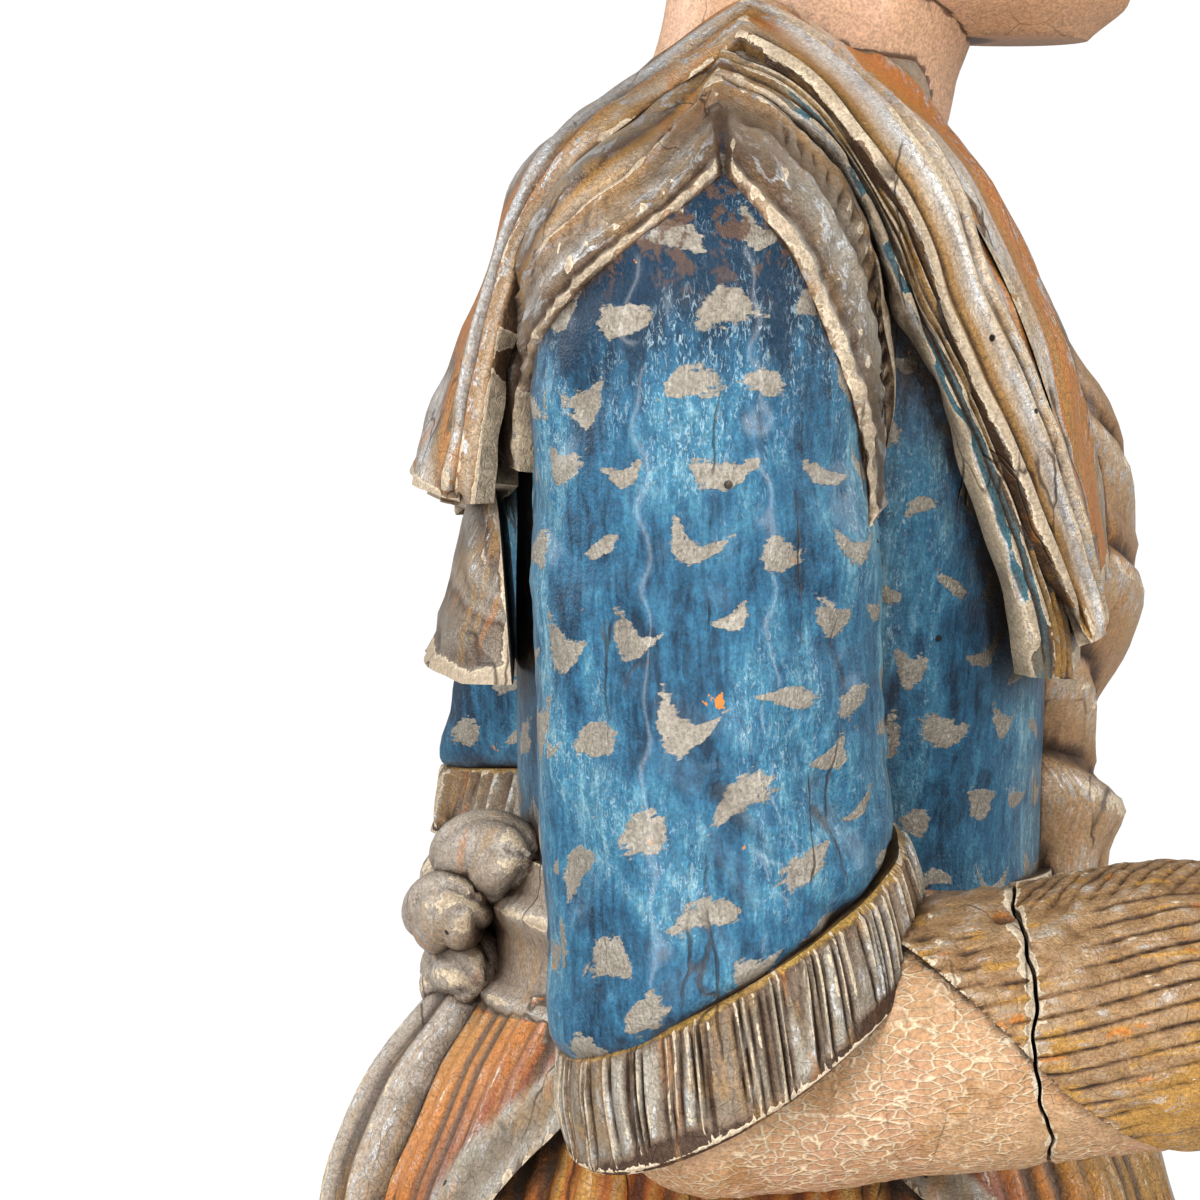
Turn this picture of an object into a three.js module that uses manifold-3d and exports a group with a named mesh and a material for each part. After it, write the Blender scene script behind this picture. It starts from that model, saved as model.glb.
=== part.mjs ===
// A carved and painted wooden guardian statue, standing on a low plinth.
// Millimetres, +Z up, the origin at the middle of the plinth's underside. The figure faces -Y,
// so its right side is -X. Its pose and carving are in thousandths of its own height.
import * as THREE from 'three';
import { mergeVertices } from 'three/addons/utils/BufferGeometryUtils.js';
import Module from 'manifold-3d';

// Driving dimensions, in millimetres.
const FIGURE_HEIGHT = 1000; // soles to crown, without the topknot
const PLINTH_HEIGHT = 50;
const PLINTH_MARGIN = 26; // plinth standing out past the robe's hem on each side
const PLINTH_STEP = 9; // set-back of the plinth's upper moulding
const PLINTH_FOOT = 20; // height of the plinth's square foot below the moulding
const REST_GAP = 0.3; // air between the figure's soles and the plinth
const SEAM_GAP = 0.8; // open joint where the right forearm's block meets the elbow
const SEAM_REACH = 80; // from the elbow's middle forward to that joint

const UNIT = FIGURE_HEIGHT / 1000; // one thousandth of the figure's height

const wasm = await Module();
wasm.setup();

// Solids and how they join.

function solid(geometry) {
  const bare = new THREE.BufferGeometry();
  bare.setAttribute('position', geometry.attributes.position);
  bare.setIndex(geometry.index);
  const merged = mergeVertices(bare, 1e-4);
  const made = (triangles) => new wasm.Manifold(new wasm.Mesh({
    numProp: 3,
    vertProperties: new Float32Array(merged.attributes.position.array),
    triVerts: new Uint32Array(triangles),
  }));
  const result = made(merged.index.array);
  // A form that is placed along left-handed axes comes out inside out, and is turned back.
  return result.volume() < 0 ? made([...merged.index.array].reverse()) : result;
}

const joined = (solids) => solids.reduce((all, next) => all.add(next));
// Pockets that are closed in between forms are solid wood.
const filled = (manifold) => joined(manifold.decompose().filter((shell) => shell.volume() > 0));

function geometryOf(manifold) {
  const mesh = manifold.getMesh();
  const geometry = new THREE.BufferGeometry();
  geometry.setAttribute('position', new THREE.BufferAttribute(mesh.vertProperties, 3));
  geometry.setIndex(new THREE.BufferAttribute(mesh.triVerts, 1));
  return geometry;
}

// A cylinder whose points are placed one by one. place gets the angle round it (0 at the front,
// then the figure's left), the share of the way down it, and the share of the radius.
function shaped(around, rows, place) {
  const geometry = new THREE.CylinderGeometry(1, 1, 1, around, rows);
  const position = geometry.attributes.position;
  const point = new THREE.Vector3();
  for (let i = 0; i < position.count; i++) {
    point.fromBufferAttribute(position, i);
    const angle = Math.atan2(point.x, point.z);
    const placed = place(angle, 0.5 - point.y, Math.min(1, Math.hypot(point.x, point.z)));
    position.setXYZ(i, placed.x, placed.y, placed.z);
  }
  return solid(geometry);
}

// An egg-shaped lobe, with optional turns about X, Y and Z.
function lobe(x, y, z, rx, ry, rz, turn = [0, 0, 0], detail = 10) {
  const geometry = new THREE.SphereGeometry(1, detail, Math.round(detail * 0.7));
  geometry.scale(rx, ry, rz);
  geometry.applyMatrix4(new THREE.Matrix4().makeRotationFromEuler(new THREE.Euler(...turn)));
  geometry.translate(x, y, z);
  return solid(geometry);
}

// A profile that runs smoothly through stations: [height, value, value...], highest first.
function through(stations) {
  const curves = stations[0].slice(1).map((_, k) => new THREE.CatmullRomCurve3(
    stations.map((s) => new THREE.Vector3(s[0], s[k + 1], 0)), false, 'catmullrom', 0.5));
  const heights = stations.map((s) => s[0]);
  const last = heights.length - 1;
  return (height) => {
    let i = 0;
    while (i < last - 1 && heights[i + 1] > height) i++;
    const span = (heights[i] - height) / (heights[i] - heights[i + 1]);
    const t = (i + THREE.MathUtils.clamp(span, 0, 1)) / last;
    return curves.map((curve) => curve.getPoint(t).y);
  };
}

// The point at an angle on a squared-off oval. Power 2 is an ellipse and more is boxier.
function oval(angle, halfWidth, halfDepth, power) {
  const side = Math.sin(angle);
  const back = -Math.cos(angle);
  const reach = (Math.abs(side) ** power + Math.abs(back) ** power) ** (-1 / power);
  return [side * reach * halfWidth, back * reach * halfDepth];
}

// A standing form whose level sections are ovals: stations of [height, half width, front, back].
// Without a number of rows it has one at each station. level says how a row's height changes with
// place, swell adds to the outline, and crowd above 1 brings the rows closer together at the top.
function standing({ around, rows, stations, power = 2, crowd = 1, level = () => 0, swell = () => 0 }) {
  const sizes = through(stations);
  const top = stations[0][0];
  const last = stations.length - 1;
  const heightAt = (down) => (rows
    ? top + (stations[last][0] - top) * down ** crowd
    : stations[Math.round(down * last)][0]);
  return shaped(around, rows ?? last, (angle, down, share) => {
    const height = heightAt(down);
    const [halfWidth, front, back] = sizes(height);
    const grow = swell(angle, down);
    const [x, y] = oval(angle, halfWidth + grow, (back - front) / 2 + grow, power);
    const middle = (back + front) / 2;
    return new THREE.Vector3(x * share, middle + y * share, height + share * level(x, y, down));
  });
}

// A bar through the whole figure from side to side, whose outline is drawn in the side view:
// [distance back, height] points, with a smooth curve through each list.
function sideCut(...lists) {
  const outline = lists.flatMap((list) => (list.length > 2
    ? new THREE.SplineCurve(list.map((p) => new THREE.Vector2(...p))).getPoints(2 * list.length)
    : list.map((p) => new THREE.Vector2(...p))));
  const geometry = new THREE.ExtrudeGeometry(new THREE.Shape(outline), {
    depth: SIDE_REACH * 2, bevelEnabled: false,
  });
  geometry.translate(0, 0, -SIDE_REACH);
  // The drawing's axes become distance back and height, and its depth becomes left.
  geometry.applyMatrix4(new THREE.Matrix4().makeBasis(
    new THREE.Vector3(0, 1, 0), new THREE.Vector3(0, 0, 1), new THREE.Vector3(1, 0, 0)));
  return solid(geometry);
}
const SIDE_REACH = 400;

// Carving patterns.

const ridges = (angle, count, height) => height * Math.cos(angle * count);
const bump = (value, centre, width) => Math.exp(-(((value - centre) / width) ** 2));

// Jacket, from the belt up over the shoulders: [height, half width, front, back].

const JACKET = [
  [838, 46, -36, 38], [828, 70, -37, 42], [817, 94, -39, 48], [805, 113, -42, 57], [788, 121, -51, 68],
  [765, 118, -61, 72], [740, 114, -70, 75], [700, 108, -75, 76], [650, 98, -75, 76], [600, 88, -73, 75],
  [535, 90, -74, 76],
];
const jacket = () => standing({ around: 20, rows: 7, stations: JACKET, power: 2.6, crowd: 1.5 });

// Collar. Two layers of lapels lie over the jacket, the upper one shorter. Each is open over the
// arm in a pointed arch, whose edges are drawn in the side view.

const LOWER_LAPEL = [
  [840, 49, -38, 40], [831, 75, -40, 46], [820, 100, -42, 53], [808, 118, -46, 63], [788, 126, -55, 74],
  [765, 124, -66, 79], [740, 120, -75, 83], [700, 116, -81, 89], [653, 112, -85, 101],
];
const UPPER_LAPEL = [
  [844, 52, -39, 40], [835, 78, -42, 48], [824, 104, -44, 57], [811, 122, -49, 68], [790, 130, -59, 78],
  [767, 128, -71, 83], [742, 124, -82, 91], [706, 120, -88, 100], [674, 118, -92, 106],
];
const BELOW = 560; // the arches' feet run down to here
const lowerArch = () => sideCut(
  [[7, 823], [-22, 787], [-38, 747], [-49, 709], [-66, 672], [-76, 640]],
  [[-76, BELOW], [72, BELOW]],
  [[72, 640], [76, 690], [79, 728], [66, 762], [40, 793], [8, 823]],
);
const upperArch = () => sideCut(
  [[6, 838], [-28, 803], [-53, 762], [-69, 722], [-80, 686], [-88, 640]],
  [[-88, BELOW], [88, BELOW]],
  [[88, 640], [87, 705], [80, 755], [66, 786], [40, 812], [7, 838]],
);
// The hems dip to a point beside each arm and rise to the middle, front and back.
function lapelHem(frontDip, backDip) {
  return (x, y, down) => {
    const middle = 1 - Math.min(1, Math.abs(x) / 78);
    return down ** 3 * (y < 0 ? frontDip : backDip) * middle;
  };
}
const lowerLapel = () => standing({
  around: 20, rows: 5, stations: LOWER_LAPEL, power: 3, crowd: 1.4, level: lapelHem(22, 9),
}).subtract(lowerArch());
const upperLapel = () => standing({
  around: 20, rows: 5, stations: UPPER_LAPEL, power: 3, crowd: 1.4,
  level: (x, y, down) => lapelHem(24, 10)(x, y, down) + down ** 3 * (y + 92) * 0.16,
}).subtract(upperArch());

// Neck and head. The head is a squared oval whose outline is pushed by the features.

const NECK = [
  [885, 37, -50, 27], [858, 38, -55, 31], [842, 39, -56, 34], [822, 42, -50, 38], [790, 50, -42, 44],
];
const neck = () => standing({ around: 14, rows: 3, stations: NECK });

// [height, half width, front, back]
const HEAD = [
  [1000, 8, -38, -10], [992, 30, -62, 18], [975, 47, -82, 34], [950, 56, -93, 41], [925, 59, -97, 43],
  [900, 58, -97, 40], [880, 53, -97, 30], [862, 45, -97, 8], [846, 31, -95, -20], [837, 16, -88, -45],
];
const NOSE_TIP = 884;
const MOUTH = 868;
const CHIN = 849;
const EYES = 918;
function faceSwell(angle, height) {
  const turn = Math.abs(angle) * 180 / Math.PI;
  const noseLine = THREE.MathUtils.clamp((922 - height) / (922 - NOSE_TIP), 0, 1);
  const underNose = THREE.MathUtils.smoothstep(height, NOSE_TIP - 7, NOSE_TIP);
  return 14 * noseLine * underNose * bump(turn, 0, 8) // nose
    + 4 * bump(height, NOSE_TIP + 2, 6) * bump(turn, 9, 6) // nostrils
    + 4 * bump(height, 931, 6) * bump(turn, 22, 22) // brow
    - 7 * bump(height, EYES, 8) * bump(turn, 24, 12) // eye hollows
    + 4 * bump(height, EYES - 1, 5) * bump(turn, 24, 9) // lids
    + 5 * bump(height, MOUTH, 6) * bump(turn, 0, 16) // lips
    - 2 * bump(height, MOUTH, 1.6) * bump(turn, 0, 15)
    - 3 * bump(height, MOUTH - 9, 4) * bump(turn, 0, 18)
    + 5 * bump(height, CHIN, 9) * bump(turn, 0, 20) // chin
    + 3 * bump(height, 892, 12) * bump(turn, 42, 16); // cheeks
}
const head = () => standing({
  around: 22, rows: 18, stations: HEAD, power: 2.15,
  swell: (angle, down) => faceSwell(angle, HEAD[0][0] + (HEAD.at(-1)[0] - HEAD[0][0]) * down),
});
const ear = (side) => lobe(side * 59, -24, 906, 6, 11, 19, [-0.2, 0, side * 0.35], 7);

// Hair drawn up from the brow into a bound topknot.
const HAIR = [
  [1006, 18, -44, 2], [998, 38, -68, 26], [980, 53, -87, 39], [955, 62, -97, 48], [930, 64, -96, 50],
  [905, 61, -88, 47], [885, 52, -60, 38],
];
const hair = () => standing({
  around: 20, rows: 4, stations: HAIR, power: 2.15,
  level: (x, y, down) => down ** 4 * 52 * Math.max(0, Math.min(1, (8 - y) / 60)),
  swell: (angle, down) => ridges(angle, 10, 0.9) * Math.min(1, down * 4),
});
const TOPKNOT = [
  [1046, 10, -36, -12], [1041, 20, -45, -2], [1026, 29, -54, 8], [1012, 27, -52, 8], [1001, 20, -45, 2],
  [994, 22, -46, 4],
];
const topknot = () => standing({
  around: 14, rows: 6, stations: TOPKNOT,
  swell: (angle, down) => ridges(angle, 7, 1) * Math.sin(Math.PI * down),
});
// A narrow band round the hair, with a leaf standing at the brow.
const headBand = () => joined([
  standing({
    around: 16, rows: 2, power: 2.15, level: (x, y) => -0.14 * y - 4,
    stations: [[962, 61, -99, 46], [959, 64, -101, 50], [949, 65, -102, 51], [946, 62, -99, 48]],
  }),
  lobe(0, -97, 980, 12, 6, 20, [-0.3, 0, 0], 6),
]);

// Arms. Each is built about its own axes: down the upper arm, and out along the forearm.

const CUFF_LENGTH = 21;
const CUFF_RIDGES = 11;
const ARM_RADIUS = { across: 42, along: 45 };

// sleeve is the way from the shoulder point to the middle of the sleeve's seam, and droop is how
// far the seam hangs outside the arm. reach is from the elbow's middle to the wrist.
const RIGHT_ARM = {
  shoulder: new THREE.Vector3(-136, 27, 760),
  elbow: new THREE.Vector3(-138, 19, 551),
  forearm: new THREE.Vector3(0.01, -0.98, 0.15).normalize(),
  sleeve: 178, droop: 11, reach: 188, outward: -1,
};
const LEFT_ARM = {
  shoulder: new THREE.Vector3(131, 24, 758),
  elbow: new THREE.Vector3(214, 50, 604),
  forearm: new THREE.Vector3(-0.76, -0.64, 0.11).normalize(),
  sleeve: 148, droop: 2, reach: 150, outward: 1,
};

// Axes of an arm: down it, forward as the forearm leaves it, and across.
function axes(arm) {
  const down = arm.elbow.clone().sub(arm.shoulder).normalize();
  const forward = arm.forearm.clone().addScaledVector(down, -arm.forearm.dot(down)).normalize();
  const across = new THREE.Vector3().crossVectors(forward, down).normalize();
  if (across.x * arm.outward < 0) across.negate();
  return { down, forward, across, turn: across.clone().cross(forward).dot(down) > 0 ? 1 : -1 };
}

// A ring of an arm's sleeve: how far down, how wide, how much its front rises and its outside drops.
// Its inner side is squared and stands against the body, because both are one block of wood.
function sleeveForm(arm, around, rows, ring) {
  const { down, forward, across, turn } = axes(arm);
  return shaped(around, rows, (angle, along, share) => {
    const { depth, width, rise, droop, swell = 0, lean = 0 } = ring(along, angle);
    const outside = Math.sin(angle) * -turn > 0;
    const [side, back] = oval(angle, 1, 1, outside ? 2 : 4);
    const out = side * -turn * (outside ? 1 : 1.15);
    const fore = -back;
    return arm.shoulder.clone()
      .addScaledVector(down, depth + share * (-rise * fore + droop * out))
      .addScaledVector(across, share * out * (ARM_RADIUS.across * width + swell))
      .addScaledVector(forward, lean + share * fore * (ARM_RADIUS.along * width + swell));
  });
}

// The dome of the shoulder and then the slack sleeve down to its seam.
function sleeveRing(arm, along, proud) {
  const domeHeight = ARM_RADIUS.across * 0.95;
  const domeShare = 0.3;
  const inDome = Math.min(1, along / domeShare);
  const depth = along < domeShare
    ? -domeHeight * Math.cos(inDome * Math.PI / 2)
    : (along - domeShare) / (1 - domeShare) * arm.sleeve;
  const slack = 0.95 + 0.07 * Math.sin(Math.PI * Math.max(0, along - domeShare));
  const rise = THREE.MathUtils.smoothstep(along, 0.6, 1);
  return {
    depth: depth - proud * (1 - inDome),
    width: Math.max(0.02, Math.sin(inDome * Math.PI / 2)) * slack,
    rise: 24 * rise,
    droop: arm.droop * rise,
    swell: proud * inDome,
  };
}
const sleeve = (arm) => sleeveForm(arm, 18, 8, (along) => sleeveRing(arm, along, 0));

// A thick pleated cuff below the seam. It flares, most of all to the front.
const cuff = (arm) => sleeveForm(arm, CUFF_RIDGES * 2, 2, (along, angle) => ({
  depth: arm.sleeve - 4 + along * (CUFF_LENGTH + 4),
  width: 1.05 + 0.06 * along,
  rise: 24 + 2 * along,
  droop: arm.droop * (1 + 0.8 * along),
  swell: ridges(angle, CUFF_RIDGES, 0.9),
  lean: 3 + 3 * along,
}));

// The trim round each armhole is a band of the sleeve's own form, proud of it, cut to an arch.
const armholeTrim = () => sideCut(
  [[79, 718], [75, 740], [58, 768], [38, 789], [20, 806]],
  [[19, 806], [-2, 787], [-16, 765], [-25, 733], [-26, 697]],
  [[-20, 697], [-17, 729], [-12, 751], [-1, 772], [19, 787]],
  [[20, 787], [34, 777], [55, 756], [72, 733], [75, 718]],
);
const trim = (arm) => sleeveForm(arm, 14, 5, (along) => sleeveRing(arm, along * 0.75, 4))
  .intersect(armholeTrim());

// The bare elbow and forearm, then the bracer over them, each a tube along the forearm's axis.
function forearmForm(arm, around, rows, ring) {
  const along = arm.forearm;
  const across = new THREE.Vector3().crossVectors(along, new THREE.Vector3(0, 0, 1)).normalize();
  const up = new THREE.Vector3().crossVectors(across, along).normalize();
  return shaped(around, rows, (angle, share, radius) => {
    const { reach, size, slant = 0 } = ring(share, angle);
    return arm.elbow.clone()
      .addScaledVector(along, reach + radius * slant * Math.cos(angle))
      .addScaledVector(across, radius * size * 0.94 * Math.sin(angle))
      .addScaledVector(up, radius * size * Math.cos(angle));
  });
}
const ELBOW_RADIUS = 33;
const MUSCLE_RADIUS = 36.5;
const WRIST_RADIUS = 21;
// Thick to two thirds of the way, then tapering to the wrist.
function forearmRadius(arm, reach) {
  const swelling = THREE.MathUtils.smoothstep(reach, 0, arm.reach * 0.55);
  const taper = THREE.MathUtils.smoothstep(reach, arm.reach * 0.6, arm.reach);
  const thick = THREE.MathUtils.lerp(ELBOW_RADIUS, MUSCLE_RADIUS, swelling);
  return THREE.MathUtils.lerp(thick, WRIST_RADIUS, taper);
}
const bareForearm = (arm) => forearmForm(arm, 14, 7, (share) => {
  const reach = -ELBOW_RADIUS + share * (arm.reach + 8 + ELBOW_RADIUS);
  const round = reach < 0 ? Math.sqrt(Math.max(0.001, 1 - (reach / ELBOW_RADIUS) ** 2)) : 1;
  return { reach, size: round * forearmRadius(arm, reach) };
});
// The bracer starts at a slant, near the elbow on top and further on below, and flares at the wrist.
const bracer = (arm) => forearmForm(arm, 14, 4, (share) => {
  const start = arm.reach * 0.48;
  const reach = start + share * (arm.reach - start);
  return {
    reach,
    size: forearmRadius(arm, reach) + 3 + 4 * bump(reach, arm.reach, 12),
    slant: -36 * (1 - share) ** 1.5,
  };
});

// A closed hand: a fist whose fingers lie curled one above the other, with the thumb over them.
function fist(arm, size) {
  const along = arm.forearm;
  const inward = new THREE.Vector3().crossVectors(along, new THREE.Vector3(0, 0, 1)).normalize();
  if (inward.x * arm.outward > 0) inward.negate();
  const up = new THREE.Vector3().crossVectors(inward, along);
  if (up.z < 0) up.negate();
  const wrist = arm.elbow.clone().addScaledVector(along, arm.reach);
  const fingers = shaped(10, 12, (angle, down, share) => {
    const narrowing = Math.sin(Math.PI * (0.1 + 0.8 * down)) ** 0.35;
    const finger = 0.93 + 0.07 * Math.abs(Math.sin(4 * Math.PI * down));
    const [side, ahead] = oval(angle, 21, 27, 2.6);
    return wrist.clone()
      .addScaledVector(along, size * (28 + share * narrowing * finger * ahead))
      .addScaledVector(inward, size * (4 + share * narrowing * finger * side))
      .addScaledVector(up, size * (27 - 54 * down));
  });
  const ball = new THREE.SphereGeometry(1, 6, 5);
  ball.scale(22 * size, 10 * size, 9 * size);
  ball.applyMatrix4(new THREE.Matrix4().makeBasis(along, inward, new THREE.Vector3().crossVectors(along, inward)));
  ball.translate(...wrist.clone().addScaledVector(along, 34 * size)
    .addScaledVector(inward, 20 * size).addScaledVector(up, 18 * size).toArray());
  return fingers.add(solid(ball));
}

function arm(spec, handSize) {
  return {
    sleeve: joined([sleeve(spec), cuff(spec), trim(spec)]),
    forearm: joined([bareForearm(spec), bracer(spec), fist(spec, handSize)]),
  };
}

// Belt, with two raised cords round it: [height, half width, front, back].
const BELT = [
  [603, 89, -77, 81], [594, 92, -79, 82], [587, 96, -82, 86], [580, 93, -79, 83], [568, 94, -81, 84],
  [561, 98, -85, 88], [553, 94, -82, 85],
];
const belt = () => standing({
  around: 18, stations: BELT, power: 2.3, level: (x) => -Math.abs(x) * 0.04,
});

// Knee-length pleated skirt, and over it an apron front and back, cut away over each hip.
const SKIRT = [
  [566, 90, -78, 82], [545, 100, -88, 93], [515, 112, -99, 106], [460, 130, -114, 122],
  [380, 145, -126, 136], [318, 152, -131, 143],
];
const SKIRT_PLEATS = 18;
const skirt = () => standing({
  around: SKIRT_PLEATS * 2, rows: 3, stations: SKIRT, power: 2.2,
  level: (x, y, down) => -6 * down * Math.sin(6 * Math.atan2(y, x)),
  swell: (angle, down) => ridges(angle, SKIRT_PLEATS, 1.2 + 1.6 * down)
    + 4 * down * Math.cos(6 * angle),
});
const APRON = [
  [566, 93, -82, 86], [545, 107, -95, 100], [515, 119, -107, 114], [460, 138, -123, 131], [408, 150, -134, 142],
];
const apronCut = () => sideCut(
  [[22, 560], [6, 548], [-40, 510], [-82, 452], [-104, 360]],
  [[-104, 200], [112, 200]],
  [[112, 360], [98, 452], [86, 505], [56, 540], [22, 560]].slice(0, 4),
);
const aprons = () => standing({
  around: SKIRT_PLEATS * 2, rows: 2, stations: APRON, power: 2.2,
  level: (x, y, down) => 26 * down ** 2 * Math.min(1, Math.abs(x) / 120) ** 2,
  swell: (angle, down) => ridges(angle, SKIRT_PLEATS, 1 + 1.2 * down),
}).subtract(apronCut());

// Long robe to the ground, in broad folds with a raised border, and boots' toes below it.
const ROBE = [
  [360, 122, -104, 112], [200, 120, -102, 108], [68, 134, -114, 119], [62, 138, -118, 124],
  [13, 146, -124, 130], [9, 142, -120, 126],
];
const ROBE_FOLDS = 9;
const robe = () => standing({
  around: ROBE_FOLDS * 4, stations: ROBE, power: 2.2,
  swell: (angle, down) => (2 + 5 * down) * Math.cos(ROBE_FOLDS * angle),
});
const TOES = 165; // the boots' toes are this far forward
const boot = (side) => joined([
  lobe(side * 52, 60 - TOES, 20, 33, 60, 21, [0, 0, side * 0.14], 9),
  shaped(10, 1, (angle, down, share) => {
    const [x, y] = oval(angle, 34 * share, 58 * share, 2.4);
    return new THREE.Vector3(side * 52 + x, 61 - TOES + y, 8 * (1 - down));
  }),
]).intersect(sideCut([[-300, 0], [300, 0], [300, 60], [-300, 60]].slice(0, 2), [[300, 60], [-300, 60]]));
const sole = () => standing({
  around: 20, rows: 1, stations: [[16, 128, -106, 112], [0, 128, -106, 112]], power: 2.2,
});

// Mantle: cloth gathered down the middle of the chest in hanging swags, held by the left hand,
// and falling over the belt: [height, half width, front, back].
const MANTLE = [
  [796, 44, -54, -30], [768, 56, -70, -30], [738, 60, -89, -30], [722, 60, -100, -30], [697, 57, -101, -30],
  [690, 56, -104, -30], [664, 50, -102, -30], [647, 44, -93, -30], [628, 37, -91, -30],
  [614, 35, -99, -30], [600, 32, -94, -30], [560, 34, -97, -30], [500, 44, -114, -40], [440, 56, -134, -50],
];
const MANTLE_PLACE = 16; // its middle stands this far to the figure's left
const mantle = () => standing({
  around: 14, rows: 11, stations: MANTLE, power: 2.4,
  level: (x) => 0.004 * x * x,
  swell: (angle, down) => (down < 0.42 ? 0 : 2.4 * Math.cos(7 * angle)),
}).translate(MANTLE_PLACE, 0, 0);

// Sash: a knot with two loops at the small of the back, and two tails lying on the apron.
const apronSizes = through(APRON);
function sashTail(side) {
  return shaped(6, 4, (angle, down, share) => {
    const [x, y] = oval(angle, 15 + 12 * down, 6, 2.2);
    const height = 580 - 205 * down;
    const back = apronSizes(height)[2];
    const spread = side * (12 + 24 * down);
    return new THREE.Vector3(spread + x * share, back + (y + 2 * Math.cos(x * 0.35)) * share, height);
  });
}
const sash = () => joined([
  lobe(0, 92, 588, 15, 15, 14, [0, 0, 0], 7), lobe(-3, 90, 567, 13, 12, 12, [0, 0, 0], 6),
  lobe(-32, 90, 594, 27, 13, 16, [0, 0.3, 0.3], 7), lobe(32, 90, 594, 27, 13, 16, [0, -0.3, -0.3], 7),
  sashTail(-1), sashTail(1),
]);

// The whole figure's block, with the right forearm's block parted from it at the seam.

const rightArm = arm(RIGHT_ARM, 1);
const leftArm = arm(LEFT_ARM, 0.92);
const seam = RIGHT_ARM.elbow.y - SEAM_REACH / UNIT;
const seamHalf = SEAM_GAP / UNIT / 2;
function forwardOf(limit) {
  const box = new THREE.BoxGeometry(400, 400, 400);
  box.translate(RIGHT_ARM.elbow.x, limit - 200, RIGHT_ARM.elbow.z);
  return solid(box);
}

const figureSolid = filled(joined([
  jacket(), lowerLapel(), upperLapel(), neck(), head(), ear(-1), ear(1), hair(), topknot(), headBand(),
  rightArm.sleeve, rightArm.forearm.subtract(forwardOf(seam + seamHalf)), leftArm.sleeve, leftArm.forearm,
  belt(), skirt(), aprons(), robe(), sole(), boot(-1), boot(1), mantle(), sash(),
]));
const forearmSolid = rightArm.forearm.intersect(forwardOf(seam - seamHalf));

// Plinth: a square-cornered foot with a stepped and hollowed moulding above it.
function plinthSolid() {
  const [, hemWidth, , hemBack] = ROBE.at(-2);
  const halfWidth = hemWidth * UNIT + PLINTH_MARGIN;
  const front = -TOES * UNIT - PLINTH_MARGIN;
  const back = hemBack * UNIT + PLINTH_MARGIN;
  const slab = (inset, low, high) => {
    const box = new THREE.BoxGeometry(2 * (halfWidth - inset), back - front - 2 * inset, high - low);
    box.translate(0, (front + back) / 2, (low + high) / 2);
    return solid(box);
  };
  const above = PLINTH_HEIGHT - PLINTH_FOOT;
  return joined([
    slab(0, 0, PLINTH_FOOT),
    slab(PLINTH_STEP, 0, PLINTH_FOOT + above * 0.6),
    slab(PLINTH_STEP * 0.4, PLINTH_FOOT + above * 0.6, PLINTH_HEIGHT),
  ]);
}

// The finished pieces.

const paint = (color, roughness, metalness) => new THREE.MeshStandardMaterial({ color, roughness, metalness });
function piece(name, manifold, material, onPlinth) {
  const geometry = geometryOf(manifold);
  if (onPlinth) {
    geometry.scale(UNIT, UNIT, UNIT);
    geometry.translate(0, 0, PLINTH_HEIGHT + REST_GAP);
  }
  const mesh = new THREE.Mesh(geometry, material);
  mesh.name = name;
  return mesh;
}

const statue = new THREE.Group();
statue.add(
  piece('figure', figureSolid, paint(0x2f6f9c, 0.45, 0.05), true),
  piece('right_forearm', forearmSolid, paint(0xa08866, 0.5, 0.15), true),
  piece('plinth', plinthSolid(), paint(0x5b4636, 0.7, 0), false),
);
export default statue;
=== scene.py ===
"""A carved and painted wooden guardian statue on a low plinth.

Each form of the figure is a closed skin rolled round a line, carved by adding to its outline, and
the skins are united into one block. Sizes of the carving are in thousandths of the figure's height.
"""

import math

import bpy
import numpy as np
from bpy.props import FloatProperty, FloatVectorProperty, IntProperty, PointerProperty
from mathutils import Matrix, Vector
from mathutils.bvhtree import BVHTree


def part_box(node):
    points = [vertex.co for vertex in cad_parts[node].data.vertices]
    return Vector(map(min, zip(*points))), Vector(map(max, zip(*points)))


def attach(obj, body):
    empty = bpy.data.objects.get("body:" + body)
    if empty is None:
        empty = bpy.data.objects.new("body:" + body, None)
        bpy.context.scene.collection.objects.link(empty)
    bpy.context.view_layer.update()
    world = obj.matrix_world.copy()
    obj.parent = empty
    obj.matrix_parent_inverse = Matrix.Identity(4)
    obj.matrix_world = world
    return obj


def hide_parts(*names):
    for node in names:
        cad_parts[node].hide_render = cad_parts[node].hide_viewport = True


bl_info = {
    "name": "Guardian statue",
    "version": (1, 0, 0),
    "blender": (4, 5, 0),
    "location": "3D View > Sidebar > Statue",
    "description": "Builds a carved and painted guardian statue around its packed solids",
    "category": "Object",
}

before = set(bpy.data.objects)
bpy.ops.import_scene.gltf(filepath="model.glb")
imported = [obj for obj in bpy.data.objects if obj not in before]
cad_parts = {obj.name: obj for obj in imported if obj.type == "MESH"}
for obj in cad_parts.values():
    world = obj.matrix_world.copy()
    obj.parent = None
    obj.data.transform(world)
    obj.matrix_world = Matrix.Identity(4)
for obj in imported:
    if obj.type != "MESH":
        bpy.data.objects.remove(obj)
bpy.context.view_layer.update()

FIGURE_LOW, FIGURE_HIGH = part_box("figure")
PLINTH_LOW, PLINTH_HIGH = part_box("plinth")
FOREARM_LOW, FOREARM_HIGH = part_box("right_forearm")
CARVED_HEIGHT = 1046.0  # soles to the top of the topknot, in thousandths
UNIT = (FIGURE_HIGH.z - FIGURE_LOW.z) / CARVED_HEIGHT  # metres in one thousandth
SOLES = FIGURE_LOW.z


# Carving helpers. Heights, distances and radii are in thousandths of the figure's height.


def bump(value, centre, width):
    return np.exp(-(((value - centre) / width) ** 2))


def smooth(value, low, high):
    t = np.clip((value - low) / (high - low), 0, 1)
    return t * t * (3 - 2 * t)


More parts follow.
